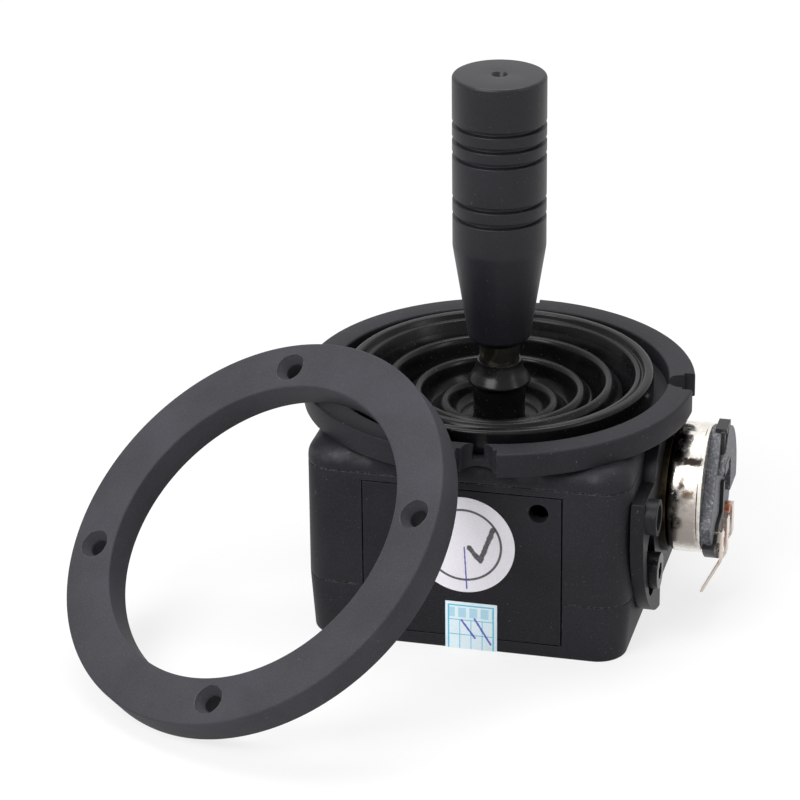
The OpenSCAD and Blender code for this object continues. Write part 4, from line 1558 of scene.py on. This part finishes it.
@dataclass
class Studio:
    """Camera, lamps, floor and background."""

    eye: tuple = (149.17, -677.64, 350.89)
    right: tuple = (0.97099733, 0.23888673, -0.00986486)
    up: tuple = (-0.08892411, 0.3991325, 0.91257096)
    back: tuple = (0.22193848, -0.88522674, 0.40879938)
    lens: float = 168.89
    fill: float = 0.36
    floor_glow: float = 0.78

    def camera(self) -> None:
        """Places the camera."""
        data = bpy.data.cameras.new("camera")
        data.lens, data.sensor_width = self.lens, 36.0
        data.clip_start, data.clip_end = 0.05, 20.0
        made = bpy.data.objects.new("camera", data)
        bpy.context.scene.collection.objects.link(made)
        turn = Matrix((self.right, self.up, self.back)).transposed().to_4x4()
        made.matrix_world = Matrix.Translation(Vector(self.eye) * MM) @ turn
        bpy.context.scene.camera = made

    def lamp(self, name: str, spot: tuple, aim: tuple, size: tuple, power: float) -> None:
        """One soft area lamp.

        Args:
            name: Its name.
            spot: Place, m.
            aim: Point that it looks at, m.
            size: Width and height, m.
            power: Power, W.
        """
        data = bpy.data.lights.new(name, "AREA")
        data.shape, data.size, data.size_y, data.energy = "RECTANGLE", size[0], size[1], power
        made = bpy.data.objects.new(name, data)
        bpy.context.scene.collection.objects.link(made)
        made.location = spot
        made.rotation_mode = "QUATERNION"
        made.rotation_quaternion = (Vector(aim) - Vector(spot)).to_track_quat("-Z", "Y")

    def backdrop(self) -> None:
        """White for what looks straight at it, softer where it lights the object."""
        world = bpy.data.worlds.new("backdrop")
        bpy.context.scene.world = world
        g = Graph("backdrop", world)
        plain, light = (
            g.node("ShaderNodeBackground", {}, {"Color": (1.0, 1.0, 1.0, 1.0), "Strength": level})
            for level in (1.0, self.fill)
        )
        g.end(g.node("ShaderNodeMixShader", {}, {0: g.seen(), 1: light, 2: plain}))

    def floor(self) -> None:
        """Wide pale floor that keeps the object's shadow."""
        g = Graph("floor_paper")
        paper = g.shader(Base_Color=(0.74, 0.74, 0.74), Roughness=0.9)
        white = g.node("ShaderNodeEmission", {}, {"Color": (1.0, 1.0, 1.0, 1.0), "Strength": 1.0})
        share = g.seen() * self.floor_glow
        material = g.end(g.node("ShaderNodeMixShader", {}, {0: share, 1: paper, 2: white}))
        bm = bmesh.new()
        bmesh.ops.create_grid(
            bm, x_segments=1, y_segments=1, size=6000.0, matrix=Matrix.Translation((0, 0, -0.02))
        )
        bmesh.ops.scale(bm, vec=(MM, MM, MM), verts=bm.verts)
        mesh = bpy.data.meshes.new("floor")
        bm.to_mesh(mesh)
        bm.free()
        mesh.materials.append(material)
        made = bpy.data.objects.new("floor", mesh)
        bpy.context.scene.collection.objects.link(made)

    def build(self) -> None:
        """Builds the studio."""
        scene = bpy.context.scene
        scene.view_settings.view_transform = "Standard"
        self.camera()
        self.lamp("key", (-0.45, -0.85, 0.95), (0, 0, 0.05), (0.8, 0.6), 16.0)
        self.lamp("top", (-0.10, 0.30, 1.15), (0, 0, 0.05), (0.9, 0.6), 11.0)
        self.lamp("side", (1.1, -0.25, 0.55), (0, 0, 0.04), (0.25, 0.6), 2.0)
        self.backdrop()
        self.floor()


def dress_cad_nodes(nodes: dict[str, bpy.types.Object]) -> None:
    """Gives each CAD node its finish.

    Args:
        nodes: The frame's nodes by name.
    """
    for finish, names in CAD_FINISHES.items():
        for name in names:
            mesh = nodes[name].data
            mesh.materials.clear()
            mesh.materials.append(finish.material())
    LOG.info("dressed %d CAD nodes", sum(len(n) for n in CAD_FINISHES.values()))


def main() -> None:
    """Loads the frame and builds every piece."""
    logging.basicConfig(level=logging.INFO, format="%(name)s: %(message)s")
    for old in list(bpy.data.objects):
        bpy.data.objects.remove(old)
    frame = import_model()
    Studio().build()
    dress_cad_nodes(frame["nodes"])
    assemblies = [Housing(), Boot(), Knob(), BezelRing()]
    assemblies += [Potentiometer(side) for side in Side]
    for assembly in assemblies:
        assembly.build()
    bpy.context.view_layer.update()


if __name__ == "__main__":
    main()
